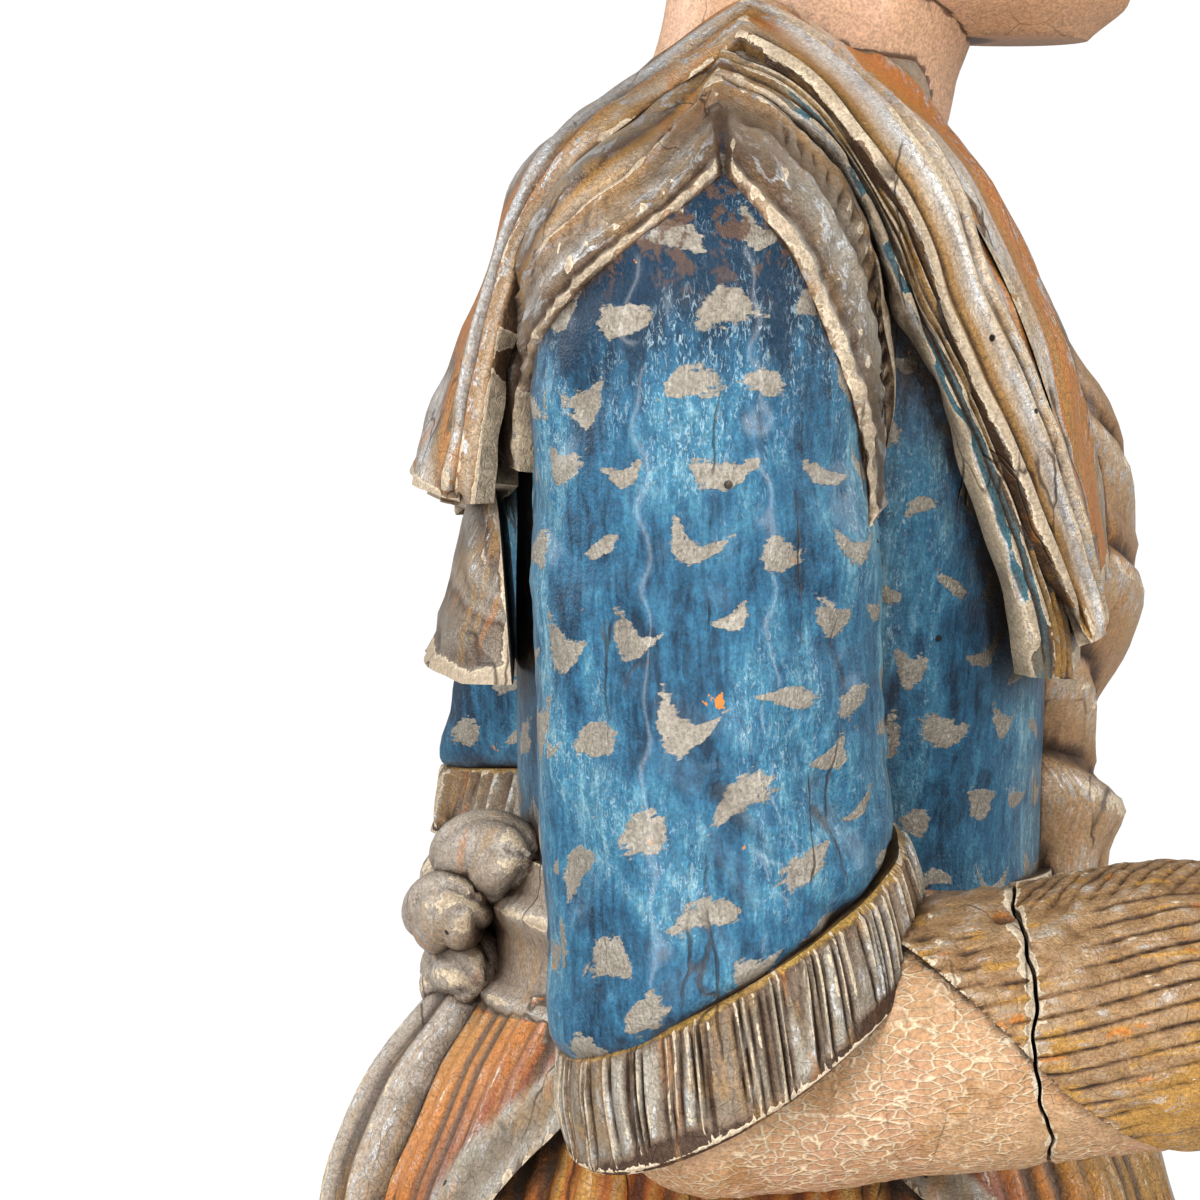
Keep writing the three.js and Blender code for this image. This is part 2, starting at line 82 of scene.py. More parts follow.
def lerp(a, b, t):
    return a + (b - a) * t


def hand_carved(points, size, seed):
    """Smooth unevenness from -1 to 1, whose lumps are about size across."""
    random = np.random.default_rng(seed)
    total = np.zeros(points.shape[:-1])
    for _ in range(9):
        direction = random.normal(size=3)
        direction *= 2 * np.pi / (size * random.uniform(1.2, 2.6)) / np.linalg.norm(direction)
        total += np.sin(points @ direction + random.uniform(0, 2 * np.pi))
    return total / 4.2


def through(stations):
    """A profile that runs smoothly through stations of (height, value, value...), highest first."""
    table = np.array(stations, float)
    heights, values = table[:, 0], table[:, 1:]
    padded = np.vstack([2 * values[0] - values[1], values, 2 * values[-1] - values[-2]])

    def sizes(height):
        height = np.asarray(height, float)
        i = np.clip(np.searchsorted(-heights, -height, side="right") - 1, 0, len(heights) - 2)
        t = np.clip((heights[i] - height) / (heights[i] - heights[i + 1]), 0, 1)[..., None]
        before, start, end, after = (padded[i + k] for k in range(4))
        leave, arrive = (end - before) / 2, (after - start) / 2
        cubic = 2 * start - 2 * end + leave + arrive
        square = -3 * start + 3 * end - 2 * leave - arrive
        return ((cubic * t + square) * t + leave) * t + start

    return sizes


def oval(angle, half_width, half_depth, power):
    side, back = np.sin(angle), -np.cos(angle)
    reach = (np.abs(side) ** power + np.abs(back) ** power) ** (-1 / power)
    return side * reach * half_width, back * reach * half_depth


def curve_through(points, steps=8):
    """Points close together on a smooth line through the given ones."""
    points = np.array(points, float)
    padded = np.vstack([2 * points[0] - points[1], points, 2 * points[-1] - points[-2]])
    out = []
    for i in range(len(points) - 1):
        for t in np.arange(steps) / steps:
            before, start, end, after = padded[i : i + 4]
            leave, arrive = (end - before) / 2, (after - start) / 2
            cubic = 2 * start - 2 * end + leave + arrive
            square = -3 * start + 3 * end - 2 * leave - arrive
            out.append(((cubic * t + square) * t + leave) * t + start)
    return np.array(out + [points[-1]])


def distance_to(line, points):
    """How far each point is from a line of points, both in the side view."""
    nearest = np.full(points.shape[:-1], 1e9)
    for start, end in zip(line[:-1], line[1:]):
        along = end - start
        t = np.clip(((points - start) @ along) / (along @ along + 1e-9), 0, 1)
        gap = np.linalg.norm(points - start - t[..., None] * along, axis=-1)
        nearest = np.minimum(nearest, gap)
    return nearest


class Skin:
    """A closed skin: points, faces, and for its paint a flat map, ridge tops and edge distance."""

    def __init__(self, points, faces, flat, ridge, edge, paint):
        self.points, self.faces, self.flat = points, faces, flat
        self.ridge, self.edge, self.paint = ridge, edge, paint


def skin_of(rings, ends, ridge, edge, span, depth, paint):
    """A skin from rings of points and the middles of its two ends. span runs once round a ring and
    on to its first point, and depth runs from ring to ring."""
    rows, around = rings.shape[:2]
    index = np.arange(rows * around).reshape(rows, around)
    after = np.roll(index, -1, axis=1)
    quads = np.stack([index[:-1], index[1:], after[1:], after[:-1]], -1).reshape(-1, 4)
    top, bottom = rows * around, rows * around + 1
    faces = quads.tolist()
    faces += [[top, int(index[0, k]), int(after[0, k])] for k in range(around)]
    faces += [[bottom, int(after[-1, k]), int(index[-1, k])] for k in range(around)]
    u0, v0 = np.meshgrid(span[:-1], depth[:-1])
    u1, v1 = np.meshgrid(span[1:], depth[1:])
    flat = np.stack([u0, v0, u0, v1, u1, v1, u1, v0], -1).reshape(-1, 2)
    flat = np.vstack([flat, np.zeros((6 * around, 2))])
    points = np.vstack([rings.reshape(-1, 3), *ends])
    ridge = np.append(ridge.reshape(-1), [0.5, 0.5])
    edge = np.append(edge.reshape(-1), [40.0, 40.0])
    return Skin(points, faces, flat, ridge, edge, paint)


def rolled(around, downs, place, paint, dense=0.0, dense_at=-math.pi / 2, girth=90.0):
    """A skin rolled round a line. place gets angle (0 at the front, then the figure's left), down
    and share of the radius, and gives points, how high on a ridge each is (0 to 1), and its edge
    distance. The points are closer together about the angle dense_at."""
    downs = np.asarray(downs, float)
    turn = np.arange(around) / around * 2 * np.pi - np.pi
    angles = turn - dense * np.sin(turn - dense_at)
    angle, down = np.meshgrid(angles, downs)
    points, ridge, edge = place(angle, down, np.ones_like(angle))
    ends = []
    for end in (downs[0], downs[-1]):
        centre, *_ = place(np.zeros((1, 1)), np.full((1, 1), end), np.zeros((1, 1)))
        ends.append(centre.reshape(1, 3))
    # The flat map runs on past the last column, so that nothing on it turns back at the seam.
    span = np.append(angles, angles[0] + 2 * np.pi) * girth
    depth = np.cumsum(np.append(0, np.linalg.norm(np.diff(points.mean(1), axis=0), axis=1)))
    return skin_of(points, ends, ridge, edge, span, depth, paint)


def blurred(grid, along, across):
    """A grid smoothed by repeated averages of neighbours."""
    for axis, times in ((0, along), (1, across)):
        for _ in range(times):
            padded = np.pad(
                grid, [(1, 1) if a == axis else (0, 0) for a in (0, 1)], mode="reflect", reflect_type="odd"
            )
            low = np.take(padded, np.arange(grid.shape[axis]), axis)
            high = np.take(padded, np.arange(2, grid.shape[axis] + 2), axis)
            grid = (low + 2 * grid + high) / 4
    return grid


def band(back, front, under, profile, paint, columns=26, step=1.5, proud=2.0, deep=6.0, hand=-1):
    """A carved band on the right side, or with hand 1 on the left. It lies over the skins under it.

    back and front list (inner back, inner height, outer back, outer height) up to the arch's point and
    down from it.
    """
    halves = []
    for stations in (back, front):
        line = curve_through(stations, 14)
        gaps = np.linalg.norm(np.diff(line, axis=0), axis=1) / 1.4
        length = np.append(0, np.cumsum(gaps))
        steps = np.linspace(0, length[-1], max(8, int(length[-1] / step)))
        halves.append(np.stack([np.interp(steps, length, line[:, k]) for k in range(4)], -1))
    lines = np.vstack([halves[0], halves[1][1:]])
    along = np.append(
        0, np.cumsum(np.linalg.norm(np.diff((lines[:, :2] + lines[:, 2:]) / 2, axis=0), axis=1))
    )
    along -= along[len(halves[0]) - 1]
    across = np.linspace(0, 1, columns + 1)
    side = lines[:, None, :2] + (lines[:, None, 2:] - lines[:, None, :2]) * across[None, :, None]
    trees = [BVHTree.FromPolygons(skin.points.tolist(), skin.faces) for skin in under]
    out = np.full(side.shape[:2], np.nan)
    for index in np.ndindex(out.shape):
        origin = (400.0 * hand, float(side[index][0]), float(side[index][1]))
        hits = [tree.ray_cast(origin, (-hand, 0, 0))[0] for tree in trees]
        reached = [hit[0] * hand for hit in hits if hit is not None]
        if reached:
            out[index] = hand * max(reached)
    for row in out:
        known = np.flatnonzero(~np.isnan(row))
        if len(known):
            row[:] = np.interp(np.arange(len(row)), known, row[known])
    known = np.flatnonzero(~np.isnan(out[:, 0]))
    for column in out.T:
        column[:] = np.interp(np.arange(len(column)), known, column[known])
    out = blurred(out, 8, 10)
    base = np.concatenate([out[..., None], side], -1)
    normal = np.cross(np.gradient(base, axis=0), np.gradient(base, axis=1))
    normal /= np.linalg.norm(normal, axis=-1, keepdims=True) + 1e-9
    normal *= hand * np.sign(normal[..., :1])
    v, u = np.meshgrid(across, along)
    growth, ridge, edge = profile(u, v, base)
    ends = smooth(u - along[0], 0, 5) * smooth(along[-1] - u, 0, 5)
    lip = (1 - (2 * v - 1) ** 8) * (0.35 + 0.65 * ends)
    face = base + normal * (proud * lip + growth * ends)[..., None]
    under_face = (base - normal * deep)[:, ::-3]
    rings = np.concatenate([face, under_face], 1)
    pad = under_face.shape[1]
    ridge = np.concatenate([ridge, np.full((len(rings), pad), 0.1)], 1)
    edge = np.concatenate([edge, np.zeros((len(rings), pad))], 1)
    width = np.linalg.norm(lines[:, :2] - lines[:, 2:], axis=1).mean()
    span = np.concatenate([across * width, width + 2 * (1 + np.arange(pad + 1))])
    middles = [rings[k].mean(0).reshape(1, 3) for k in (0, -1)]
    return skin_of(rings, middles, ridge, edge, span, along, paint)


def standing(
    around, rows, stations, paint, power=2.0, crowd=1.0, level=None, carve=None, dense=0.45, girth=90.0,
    dense_at=-math.pi / 2,
):
    """A skin whose level sections are ovals: stations of (height, half width, front, back). level
    moves a row with place, and carve gives (growth, ridge, edge) for points and angles."""
    sizes = through(stations)
    top, bottom = stations[0][0], stations[-1][0]

    def place(angle, down, share):
        height = top + (bottom - top) * down**crowd
        width, front, back = np.moveaxis(sizes(height), -1, 0)
        x, y = oval(angle, width, (back - front) / 2, power)
        middle = (back + front) / 2
        raised = level(x, y + middle, down, height) if level else 0
        base = np.stack([x, y + middle, height + raised], -1)
        growth, ridge, edge = 0, np.full(x.shape, 0.5), np.full(x.shape, 40.0)
        if carve:
            growth, ridge, edge = carve(base, angle, down)
            ridge = ridge + np.zeros(x.shape)
            edge = edge + np.zeros(x.shape)
        x, y = oval(angle, width + growth, (back - front) / 2 + growth, power)
        return (
            np.stack([x * share, middle + y * share, height + raised * share], -1),
            ridge,
            edge,
        )

    return rolled(around, np.linspace(0, 1, rows + 1), place, paint, dense, dense_at, girth)


def lobe(centre, radii, paint, turn=(0, 0, 0), detail=24, carve=None, ridge=0.6):
    """An egg-shaped skin with optional turns about X, Y and Z."""
    rx, ry, rz = (np.array(f) for f in turned(turn))

    def place(angle, down, share):
        lift = np.cos(np.pi * down)
        out = np.sin(np.pi * down)
        unit = np.stack([out * np.sin(angle), -out * np.cos(angle), lift], -1)
        size = np.array(radii, float) * share[..., None]
        local = unit * size
        local[..., 2] = unit[..., 2] * radii[2]
        if carve:
            local = local + unit * carve(unit)[..., None] * share[..., None]
        spread = local[..., :1] * rx + local[..., 1:2] * ry + local[..., 2:] * rz
        plain = np.full(angle.shape, ridge)
        return spread + np.array(centre, float), plain, np.full(angle.shape, 40.0)

    downs = np.linspace(0.02, 0.98, max(8, detail * 2 // 3))
    return rolled(detail, downs, place, paint, girth=max(radii))


def turned(turn):
    """The three axes after turns about X, then Y, then Z."""
    ax, ay, az = turn
    cx, sx, cy, sy, cz, sz = (f(a) for a in (ax, ay, az) for f in (math.cos, math.sin))
    about_x = np.array([[1, 0, 0], [0, cx, -sx], [0, sx, cx]])
    about_y = np.array([[cy, 0, sy], [0, 1, 0], [-sy, 0, cy]])
    about_z = np.array([[cz, -sz, 0], [sz, cz, 0], [0, 0, 1]])
    return (about_x @ about_y @ about_z).T


def volume_of(skin):
    corners = np.array([(f[0], b, c) for f in skin.faces for b, c in zip(f[1:-1], f[2:])])
    a, b, c = (skin.points[corners[:, k]] for k in range(3))
    return np.sum(a * np.cross(b, c)) / 6


def as_object(name, skin, paints):
    """A skin as a mesh in metres, in its place on the plinth."""
    faces, flat = skin.faces, skin.flat
    sizes = [len(f) for f in faces]
    if volume_of(skin) < 0:
        starts = np.cumsum([0] + sizes[:-1])
        order = np.concatenate([start + np.arange(size)[::-1] for start, size in zip(starts, sizes)])
        flat = flat[order]
        faces = [f[::-1] for f in faces]
    mesh = bpy.data.meshes.new(name)
    points = skin.points * UNIT + np.array([0, 0, SOLES])
    mesh.from_pydata(points.tolist(), [], faces)
    layer = mesh.uv_layers.new(name="Cloth")
    layer.data.foreach_set("uv", (flat * UNIT).astype(np.float32).ravel())
    for label, values in (("ridge", skin.ridge), ("edge", skin.edge * 0.001)):
        attribute = mesh.attributes.new(label, "FLOAT", "POINT")
        attribute.data.foreach_set("value", values.astype(np.float32))
    for material in paints:
        mesh.materials.append(material)
    index = list(PAINTS).index(skin.paint)
    mesh.polygons.foreach_set("material_index", np.full(len(mesh.polygons), index, np.int32))
    piece = bpy.data.objects.new(name, mesh)
    bpy.context.scene.collection.objects.link(piece)
    return piece


def bar_across(outline, paint, paints, reach=400.0):
    """A bar from side to side through the figure, with its outline drawn in the side view."""
    outline = np.array(outline, float)
    area = np.sum(outline[:, 0] * np.roll(outline[:, 1], -1) - np.roll(outline[:, 0], -1) * outline[:, 1])
    if area < 0:
        outline = outline[::-1]
    count = len(outline)
    right = np.column_stack([np.full(count, -reach), outline])
    left = np.column_stack([np.full(count, reach), outline])
    faces = [list(range(count))[::-1], list(range(count, 2 * count))]
    faces += [[k, (k + 1) % count, count + (k + 1) % count, count + k] for k in range(count)]
    flat = np.zeros((sum(len(f) for f in faces), 2))
    skin = Skin(np.vstack([right, left]), faces, flat, np.full(2 * count, 0.3), np.zeros(2 * count), paint)
    return as_object("cut", skin, paints)


def combine(piece, other, operation):
    """Unites, cuts or trims piece with other, which is used up."""
    modifier = piece.modifiers.new("combine", "BOOLEAN")
    modifier.operation = operation
    modifier.solver = "MANIFOLD"
    modifier.object = other
    evaluated = piece.evaluated_get(bpy.context.evaluated_depsgraph_get())
    result = bpy.data.meshes.new_from_object(evaluated)
    piece.modifiers.clear()
    old = piece.data
    piece.data = result
    bpy.data.meshes.remove(old)
    spent = other.data
    bpy.data.objects.remove(other)
    bpy.data.meshes.remove(spent)
    return piece


# Jacket and collar, in the side view: (distance back, height).

JACKET = [
    (838, 46, -36, 38), (828, 70, -37, 42), (817, 94, -39, 48), (805, 113, -42, 57), (788, 121, -51, 68),
    (765, 118, -61, 72), (740, 114, -70, 75), (700, 108, -75, 76), (650, 98, -75, 76), (600, 88, -73, 75),
    (535, 90, -74, 76),
]
LOWER_LAPEL = [
    (840, 49, -38, 40), (831, 75, -40, 46), (820, 100, -42, 53), (808, 118, -46, 63), (788, 126, -55, 74),
    (765, 124, -66, 79), (740, 120, -75, 83), (700, 116, -81, 89), (653, 112, -85, 101),
]
UPPER_LAPEL = [
    (844, 52, -39, 40), (835, 78, -42, 48), (824, 104, -44, 57), (811, 122, -49, 68), (790, 130, -59, 78),
    (767, 128, -71, 83), (742, 124, -82, 91), (706, 120, -88, 100), (674, 118, -92, 106),
]
LOWER_FRONT = curve_through([(7, 823), (-22, 787), (-38, 747), (-49, 709), (-66, 672), (-76, 640)])
LOWER_BACK = curve_through([(72, 640), (76, 690), (79, 728), (66, 762), (40, 793), (8, 823)])
UPPER_FRONT = curve_through([(6, 838), (-28, 803), (-53, 762), (-69, 722), (-80, 686), (-88, 640)])
UPPER_BACK = curve_through([(88, 640), (87, 705), (80, 755), (66, 786), (40, 812), (7, 838)])
ARCH_FOOT = 560.0


def arch_outline(front, back):
    feet = [(front[-1][0], ARCH_FOOT), (back[0][0], ARCH_FOOT)]
    return np.vstack([front, feet, back])


def flutes(distance, ribs):
    """Ribs along an edge: (distance from it, half width, height). Gives growth and ridge."""
    growth = sum(height * bump(distance, at, width) for at, width, height in ribs)
    highest = max(height for *_, height in ribs)
    return growth, np.clip(growth / highest * 0.5 + 0.5, 0, 1)


def neckline(x, y, down, height):
    """The neck opening is highest over the shoulders and falls to the front and the back."""
    return -16 * smooth(np.abs(y - 8), 0, 34) * smooth(height, 786, 838)


def lapel_hem(front_dip, back_dip, slope=0.0):
    def level(x, y, down, height):
        middle = 1 - np.clip(np.abs(x) / 78, 0, 1)
        hem = down**3 * (np.where(y < 0, front_dip, back_dip) * middle + (y + 92) * slope)
        return hem + neckline(x, y, down, height)

    return level


UPPER_RIBS = [(2.2, 1.9, 2.0), (4.9, 0.8, -1.4), (15, 1.7, 1.5), (17.2, 0.8, -1.2), (22.5, 1.8, 1.1)]
LOWER_RIBS = [(1.8, 1.5, 1.8), (4.2, 0.7, -1.3), (6.6, 1.4, 1.2), (9.2, 0.7, -1.2), (11.8, 1.5, 1.4)]
LAPEL_SETBACK = 3.0  # the lapels' own edges stand back under the bands on them

# Bands: (inner back, inner height, outer back, outer height), to the arch's point and down from it.
ARMHOLE_BAND = (
    [
        (74, 711, 81, 716), (73, 726, 81, 733), (69, 740, 77, 748), (59, 754, 69, 764), (45, 766, 55, 778),
        (32, 776, 38, 792), (20, 786, 21, 816),
    ],
    [
        (20, 786, 21, 816), (10, 774, 5, 808), (0, 760, -9, 792), (-6, 746, -19, 775), (-12, 732, -24, 755),
        (-16, 716, -27, 734), (-18, 703, -24, 716), (-18, 695, -21, 698),
    ],
)
LOWER_BAND = (
    [
        (80, 708, 87, 704), (81, 731, 84, 732), (76, 749, 80, 751), (68, 764, 74, 772), (54, 778, 61, 791),
        (37, 792, 44, 807), (21, 815, 14, 828),
    ],
    [
        (21, 815, 14, 828), (8, 809, 0, 819), (-4, 801, -10, 808), (-14, 788, -20, 793),
        (-22, 770, -31, 777), (-30, 751, -40, 755), (-39, 733, -49, 735), (-48, 712, -59, 714),
        (-57, 687, -69, 691), (-62, 669, -75, 674), (-65, 655, -79, 654),
    ],
)
UPPER_BAND = (
    [
        (86, 702, 96, 703), (82, 731, 90, 737), (78, 750, 84, 759), (72, 771, 77, 780), (59, 790, 68, 799),
        (42, 806, 50, 818), (14, 827, 9, 844),
    ],
    [
        (14, 827, 9, 844), (0, 817, -7, 835), (-10, 806, -21, 823), (-20, 791, -34, 808),
        (-31, 775, -45, 792), (-39, 753, -56, 766), (-48, 733, -66, 745), (-58, 713, -76, 720),
        (-68, 690, -84, 696), (-82, 664, -88, 667),
    ],
)


def setback(points, along):
    """A line moved out from an arch by LAPEL_SETBACK, forward (-1) or back (1) and up."""
    return points + np.array([along, 0.5]) * LAPEL_SETBACK


def ragged(base, size, seed):
    return smooth(hand_carved(base, size, seed), 0.1, 0.5)


def armhole_profile(u, v, base):
    """A rough band with a rolled inner lip. Leaves are pressed into its front outer edge."""
    front = smooth(u, 2, 12)
    lip = 0.8 * bump(v, 0.06, 0.06) - 0.9 * bump(v, 0.17, 0.05) + 0.9 * bump(v, 0.36, 0.14)
    outer = (
        1.5 * bump(v, 0.93, 0.06) - 1.1 * bump(v, 0.62, 0.05) * front + 1.2 * bump(v, 0.52, 0.06) * front
    )
    prints = np.abs(np.sin((u + 5 * (v - 0.75)) * np.pi / 5.0)) ** 0.8
    pressed = 2.2 * (prints - 0.7) * bump(v, 0.76, 0.09) * smooth(u, 14, 22) * (1 - smooth(u, 84, 92))
    crevice = 4.2 * bump(u, 0, 1.3) * smooth(0.62 - v, 0, 0.25)
    wrinkles = (
        0.6 * hand_carved(base, 7, 41) + 0.55 * hand_carved(base, 3.2, 43) + 0.6 * hand_carved(base, 16, 42)
    )
    growth = lip + outer + pressed - crevice + wrinkles
    ridge = 0.55 + 0.3 * (lip + outer) + 0.3 * pressed - 0.8 * bump(u, 0, 2) * smooth(0.7 - v, 0, 0.2)
    return growth, np.clip(ridge, 0, 1), v * 20


def lower_profile(u, v, base):
    """A ragged lip and fine ribs in front, and one broad ridge behind."""
    front = smooth(u, -4, 8)
    lip = (1.5 - 1.9 * ragged(base, 9, 44)) * bump(v, 0.12, 0.11)
    wander = 0.05 * hand_carved(base, 22, 45)
    ribs = (
        0.75 * np.cos((v + wander - 0.42) * 2 * np.pi / 0.135) * smooth(v, 0.34, 0.42)
        * (1 - smooth(v, 0.9, 0.97))
    )
    groove = -1.6 * bump(v, 0.3, 0.05) - 1.2 * bump(v, 0.99, 0.05)
    ridge_back = 2.1 * bump(v, 0.55, 0.22)
    growth = front * (lip + ribs + groove) + (1 - front) * ridge_back + 0.4 * hand_carved(base, 10, 46)
    ridge = (
        0.5 + front * (0.35 * lip + 0.45 * ribs + 0.3 * groove) + (1 - front) * (0.25 * ridge_back - 0.1)
    )
    return growth, np.clip(ridge, 0, 1), v * 20


def upper_profile(u, v, base):
    """A lip, a flat band, two ribs and a border that slopes off to the neck."""
    front = smooth(u, -4, 8)
    wander = 0.03 * hand_carved(base, 26, 47)
    lip = 1.5 * bump(v, 0.07, 0.06) - 1.3 * bump(v, 0.17, 0.035)
    ribs = (
        1.9 * bump(v + wander, 0.55, 0.055) + 2.1 * bump(v + wander, 0.7, 0.05)
        - 1.0 * bump(v + wander, 0.625, 0.03)
    )
    step = -1.1 * smooth(v, 0.76, 0.84)
    behind = 1.6 * bump(v, 0.3, 0.12) - 1.4 * bump(v, 0.5, 0.06) + 1.8 * bump(v, 0.7, 0.12)
    growth = front * (lip + ribs + step) + (1 - front) * behind + 0.4 * hand_carved(base, 12, 48)
    ridge = 0.5 + front * (0.3 * lip + 0.3 * ribs) + (1 - front) * 0.3 * behind
    return growth, np.clip(ridge, 0, 1), v * 20


def collar(stations, front, back, ribs, hem, around, rows, seed, paint):
    line = [front[:-8], back[8:]]

    def carve(base, angle, down):
        side = base[..., 1:]
        distance = np.minimum(distance_to(line[0], side), distance_to(line[1], side))
        wander = 1.1 * hand_carved(base, 34, seed)
        growth, ridge = flutes(distance + wander, ribs)
        long_folds = 1.4 * np.cos(distance * 2 * np.pi / 9.5 + wander) * smooth(distance, 24, 34)
        growth = growth + 0.8 * hand_carved(base, 16, seed + 1) + long_folds
        ridge = np.clip(ridge + 0.3 * long_folds, 0, 1)
        # Over the chest the border runs on towards the middle.
        inward = 0.35 * np.clip(112 - np.abs(base[..., 0]), 0, 200) * smooth(-base[..., 1], 8, 30)
        return growth, ridge, distance + wander * 0.6 + inward

    return standing(around, rows, stations, paint, power=3, crowd=1.25, level=hem, carve=carve)


def jacket():
    def carve(base, angle, down):
        hollow = -1.6 * bump(base[..., 1], -28, 9) * smooth(base[..., 2], 600, 680)
        return 0.7 * hand_carved(base, 30, 4) + hollow, 0.5, 40.0

    return standing(96, 42, JACKET, "cloth", power=2.6, crowd=1.3, level=neckline, carve=carve, girth=100)


# Neck, head and hair.

NECK = [(885, 37, -50, 27), (858, 38, -55, 31), (842, 39, -56, 34), (826, 43, -51, 39), (790, 50, -42, 44)]
HEAD = [
    (1000, 8, -38, -10), (992, 30, -62, 18), (975, 47, -82, 34), (950, 56, -93, 41), (925, 59, -97, 43),
    (900, 58, -97, 40), (880, 53, -97, 30), (862, 45, -97, 8), (846, 31, -95, -20), (837, 16, -88, -45),
]
NOSE_TIP, MOUTH, CHIN, EYES = 884, 868, 849, 918


def neck():
    def carve(base, angle, down):
        cords = 1.2 * bump(np.degrees(np.abs(angle)), 52 + 30 * down, 9)
        return cords + 0.3 * hand_carved(base, 18, 9), 0.6, 40.0

    return standing(72, 30, NECK, "face", carve=carve, girth=42)


def head():
    def carve(base, angle, down):
        height = HEAD[0][0] + (HEAD[-1][0] - HEAD[0][0]) * down
        turn = np.degrees(np.abs(angle))
        bridge = np.clip((922 - height) / (922 - NOSE_TIP), 0, 1)
        under = smooth(height, NOSE_TIP - 6, NOSE_TIP)
        eye = np.sqrt(((turn - 24) / 12) ** 2 + ((height - EYES) / 6.2) ** 2)
        lid_line = height - (EYES - 2.2 + 2.2 * ((turn - 24) / 11) ** 2)
        inside_eye = smooth(-np.abs(turn - 24), -12, -8)
        lip = height - (MOUTH + 1.6 * bump(turn, 0, 3) - 0.04 * turn)
        in_mouth = smooth(-turn, -19, -11)
        growth = 14 * bridge * under * bump(turn, 0, 5 + 3.5 * bridge)
        growth += 4.4 * bump(height, NOSE_TIP + 2, 5.5) * bump(turn, 9.5, 5)
        growth -= 1.6 * bump(height, NOSE_TIP - 3, 2.2) * bump(turn, 7, 3)
        growth += 3.6 * bump(height, 932 - 0.0022 * (turn - 22) ** 2, 4) * bump(turn, 24, 19)
        growth -= 7.5 * bump(height, EYES + 1, 9) * bump(turn, 24, 14)
        growth += 5.2 * smooth(1.1 - eye, 0, 0.5)
        growth -= 1.3 * bump(lid_line, -1.6, 1.6) * inside_eye
        growth -= 0.9 * bump(height, EYES + 7.5, 0.9) * bump(turn, 24, 10)
        growth += (4.2 * bump(lip, 3.2, 2.6) + 4.8 * bump(lip, -4.2, 3.4)) * in_mouth
        growth -= 2.8 * bump(lip, 0, 1.2) * in_mouth
        growth -= 2.2 * bump(height, MOUTH - 12, 3.4) * bump(turn, 0, 14)
        growth -= 1.2 * bump(height, MOUTH + 9, 4) * bump(turn, 0, 2.4)
        growth += 5 * bump(height, CHIN, 8) * bump(turn, 0, 18)
        growth += 3.2 * bump(height, 893, 13) * bump(turn, 42, 16)
        growth -= 1.4 * bump(turn - 20, 0.5 * (884 - height), 3) * bump(height, 876, 9)
        ridge = 0.6 - 0.6 * bump(lid_line, 0.9, 0.9) * inside_eye - 0.5 * bump(lip, 0, 1.1) * in_mouth
        # Edge distances stand for features that are painted: 1 for lips and 2 for brows.
        painted = np.full(angle.shape, 40.0)
        painted = np.where((np.abs(lip) < 6.5) & (turn < 16 - 0.9 * np.abs(lip)), 1.0, painted)
        brow = np.abs(height - (934 - 0.008 * (turn - 22) ** 2)) < 2.2 - 0.05 * np.abs(turn - 24)
        painted = np.where(brow & (turn > 9) & (turn < 42), 2.0, painted)
        open_eye = (eye < 0.95) & (lid_line < 1.2) & (lid_line > -3.4)
        painted = np.where(open_eye, np.where(np.abs(turn - 23) < 3.4, 4.0, 3.0), painted)
        return growth, ridge, painted

    return standing(118, 98, HEAD, "face", power=2.15, carve=carve, dense=0.55, dense_at=0.0, girth=60)


def ear(side):
    def carve(unit):
        rim = np.sqrt(unit[..., 1] ** 2 + (unit[..., 2] * 0.9) ** 2)
        return -2.2 * bump(rim, 0.45, 0.22) * smooth(unit[..., 0] * side, 0, 0.4)

    return lobe((side * 59, -24, 906), (6, 11, 19), "face", (-0.2, 0, side * 0.35), 36, carve)


HAIR = [
    (1006, 18, -44, 2), (998, 38, -68, 26), (980, 53, -87, 39), (955, 62, -97, 48), (930, 64, -96, 50),
    (905, 61, -88, 47), (885, 52, -60, 38),
]
TOPKNOT = [
    (1046, 10, -36, -12), (1041, 20, -45, -2), (1026, 29, -54, 8), (1012, 27, -52, 8), (1001, 20, -45, 2),
    (994, 22, -46, 4),
]
HEAD_BAND = [(962, 61, -99, 46), (959, 64, -101, 50), (949, 65, -102, 51), (946, 62, -99, 48)]


def strands(count, depth, twist=0.0):
    def carve(base, angle, down):
        phase = angle * count + twist * down + 0.8 * hand_carved(base, 26, 12)
        wave = 0.65 * np.cos(phase) + 0.35 * np.cos(phase * 2.1 + 1)
        return depth * wave * np.clip(down * 5, 0, 1), 0.5 + 0.5 * wave, 40.0

    return carve


def hair():
    def rise(x, y, down, height):
        return down**4 * 52 * np.clip((8 - y) / 60, 0, 1)

    return standing(
        124, 20, HAIR, "hair", power=2.15, level=rise, carve=strands(36, 1.1), girth=60, dense=0.2
    )


def topknot():
    return standing(84, 22, TOPKNOT, "hair", carve=strands(14, 1.3, 3.0), girth=26, dense=0.0)


def head_band():
    def tilt(x, y, down, height):
        return -0.14 * y - 4

    def carve(base, angle, down):
        beads = bump(down, 0.5, 0.2) * np.abs(np.cos(angle * 30))
        return 1.1 * beads, 0.4 + 0.6 * beads, 40.0

    band = standing(180, 8, HEAD_BAND, "silver", power=2.15, level=tilt, carve=carve, girth=62, dense=0.0)
    leaf = lobe((0, -97, 980), (12, 6, 20), "silver", (-0.3, 0, 0), 28, leaf_veins)
    return [band, leaf]


def leaf_veins(unit):
    veins = np.abs(np.sin(unit[..., 2] * 7 + np.abs(unit[..., 0]) * 5))
    return 0.9 * veins * (1 - bump(unit[..., 0], 0, 0.12)) - 0.8 * bump(unit[..., 0], 0, 0.1)


# Arms.


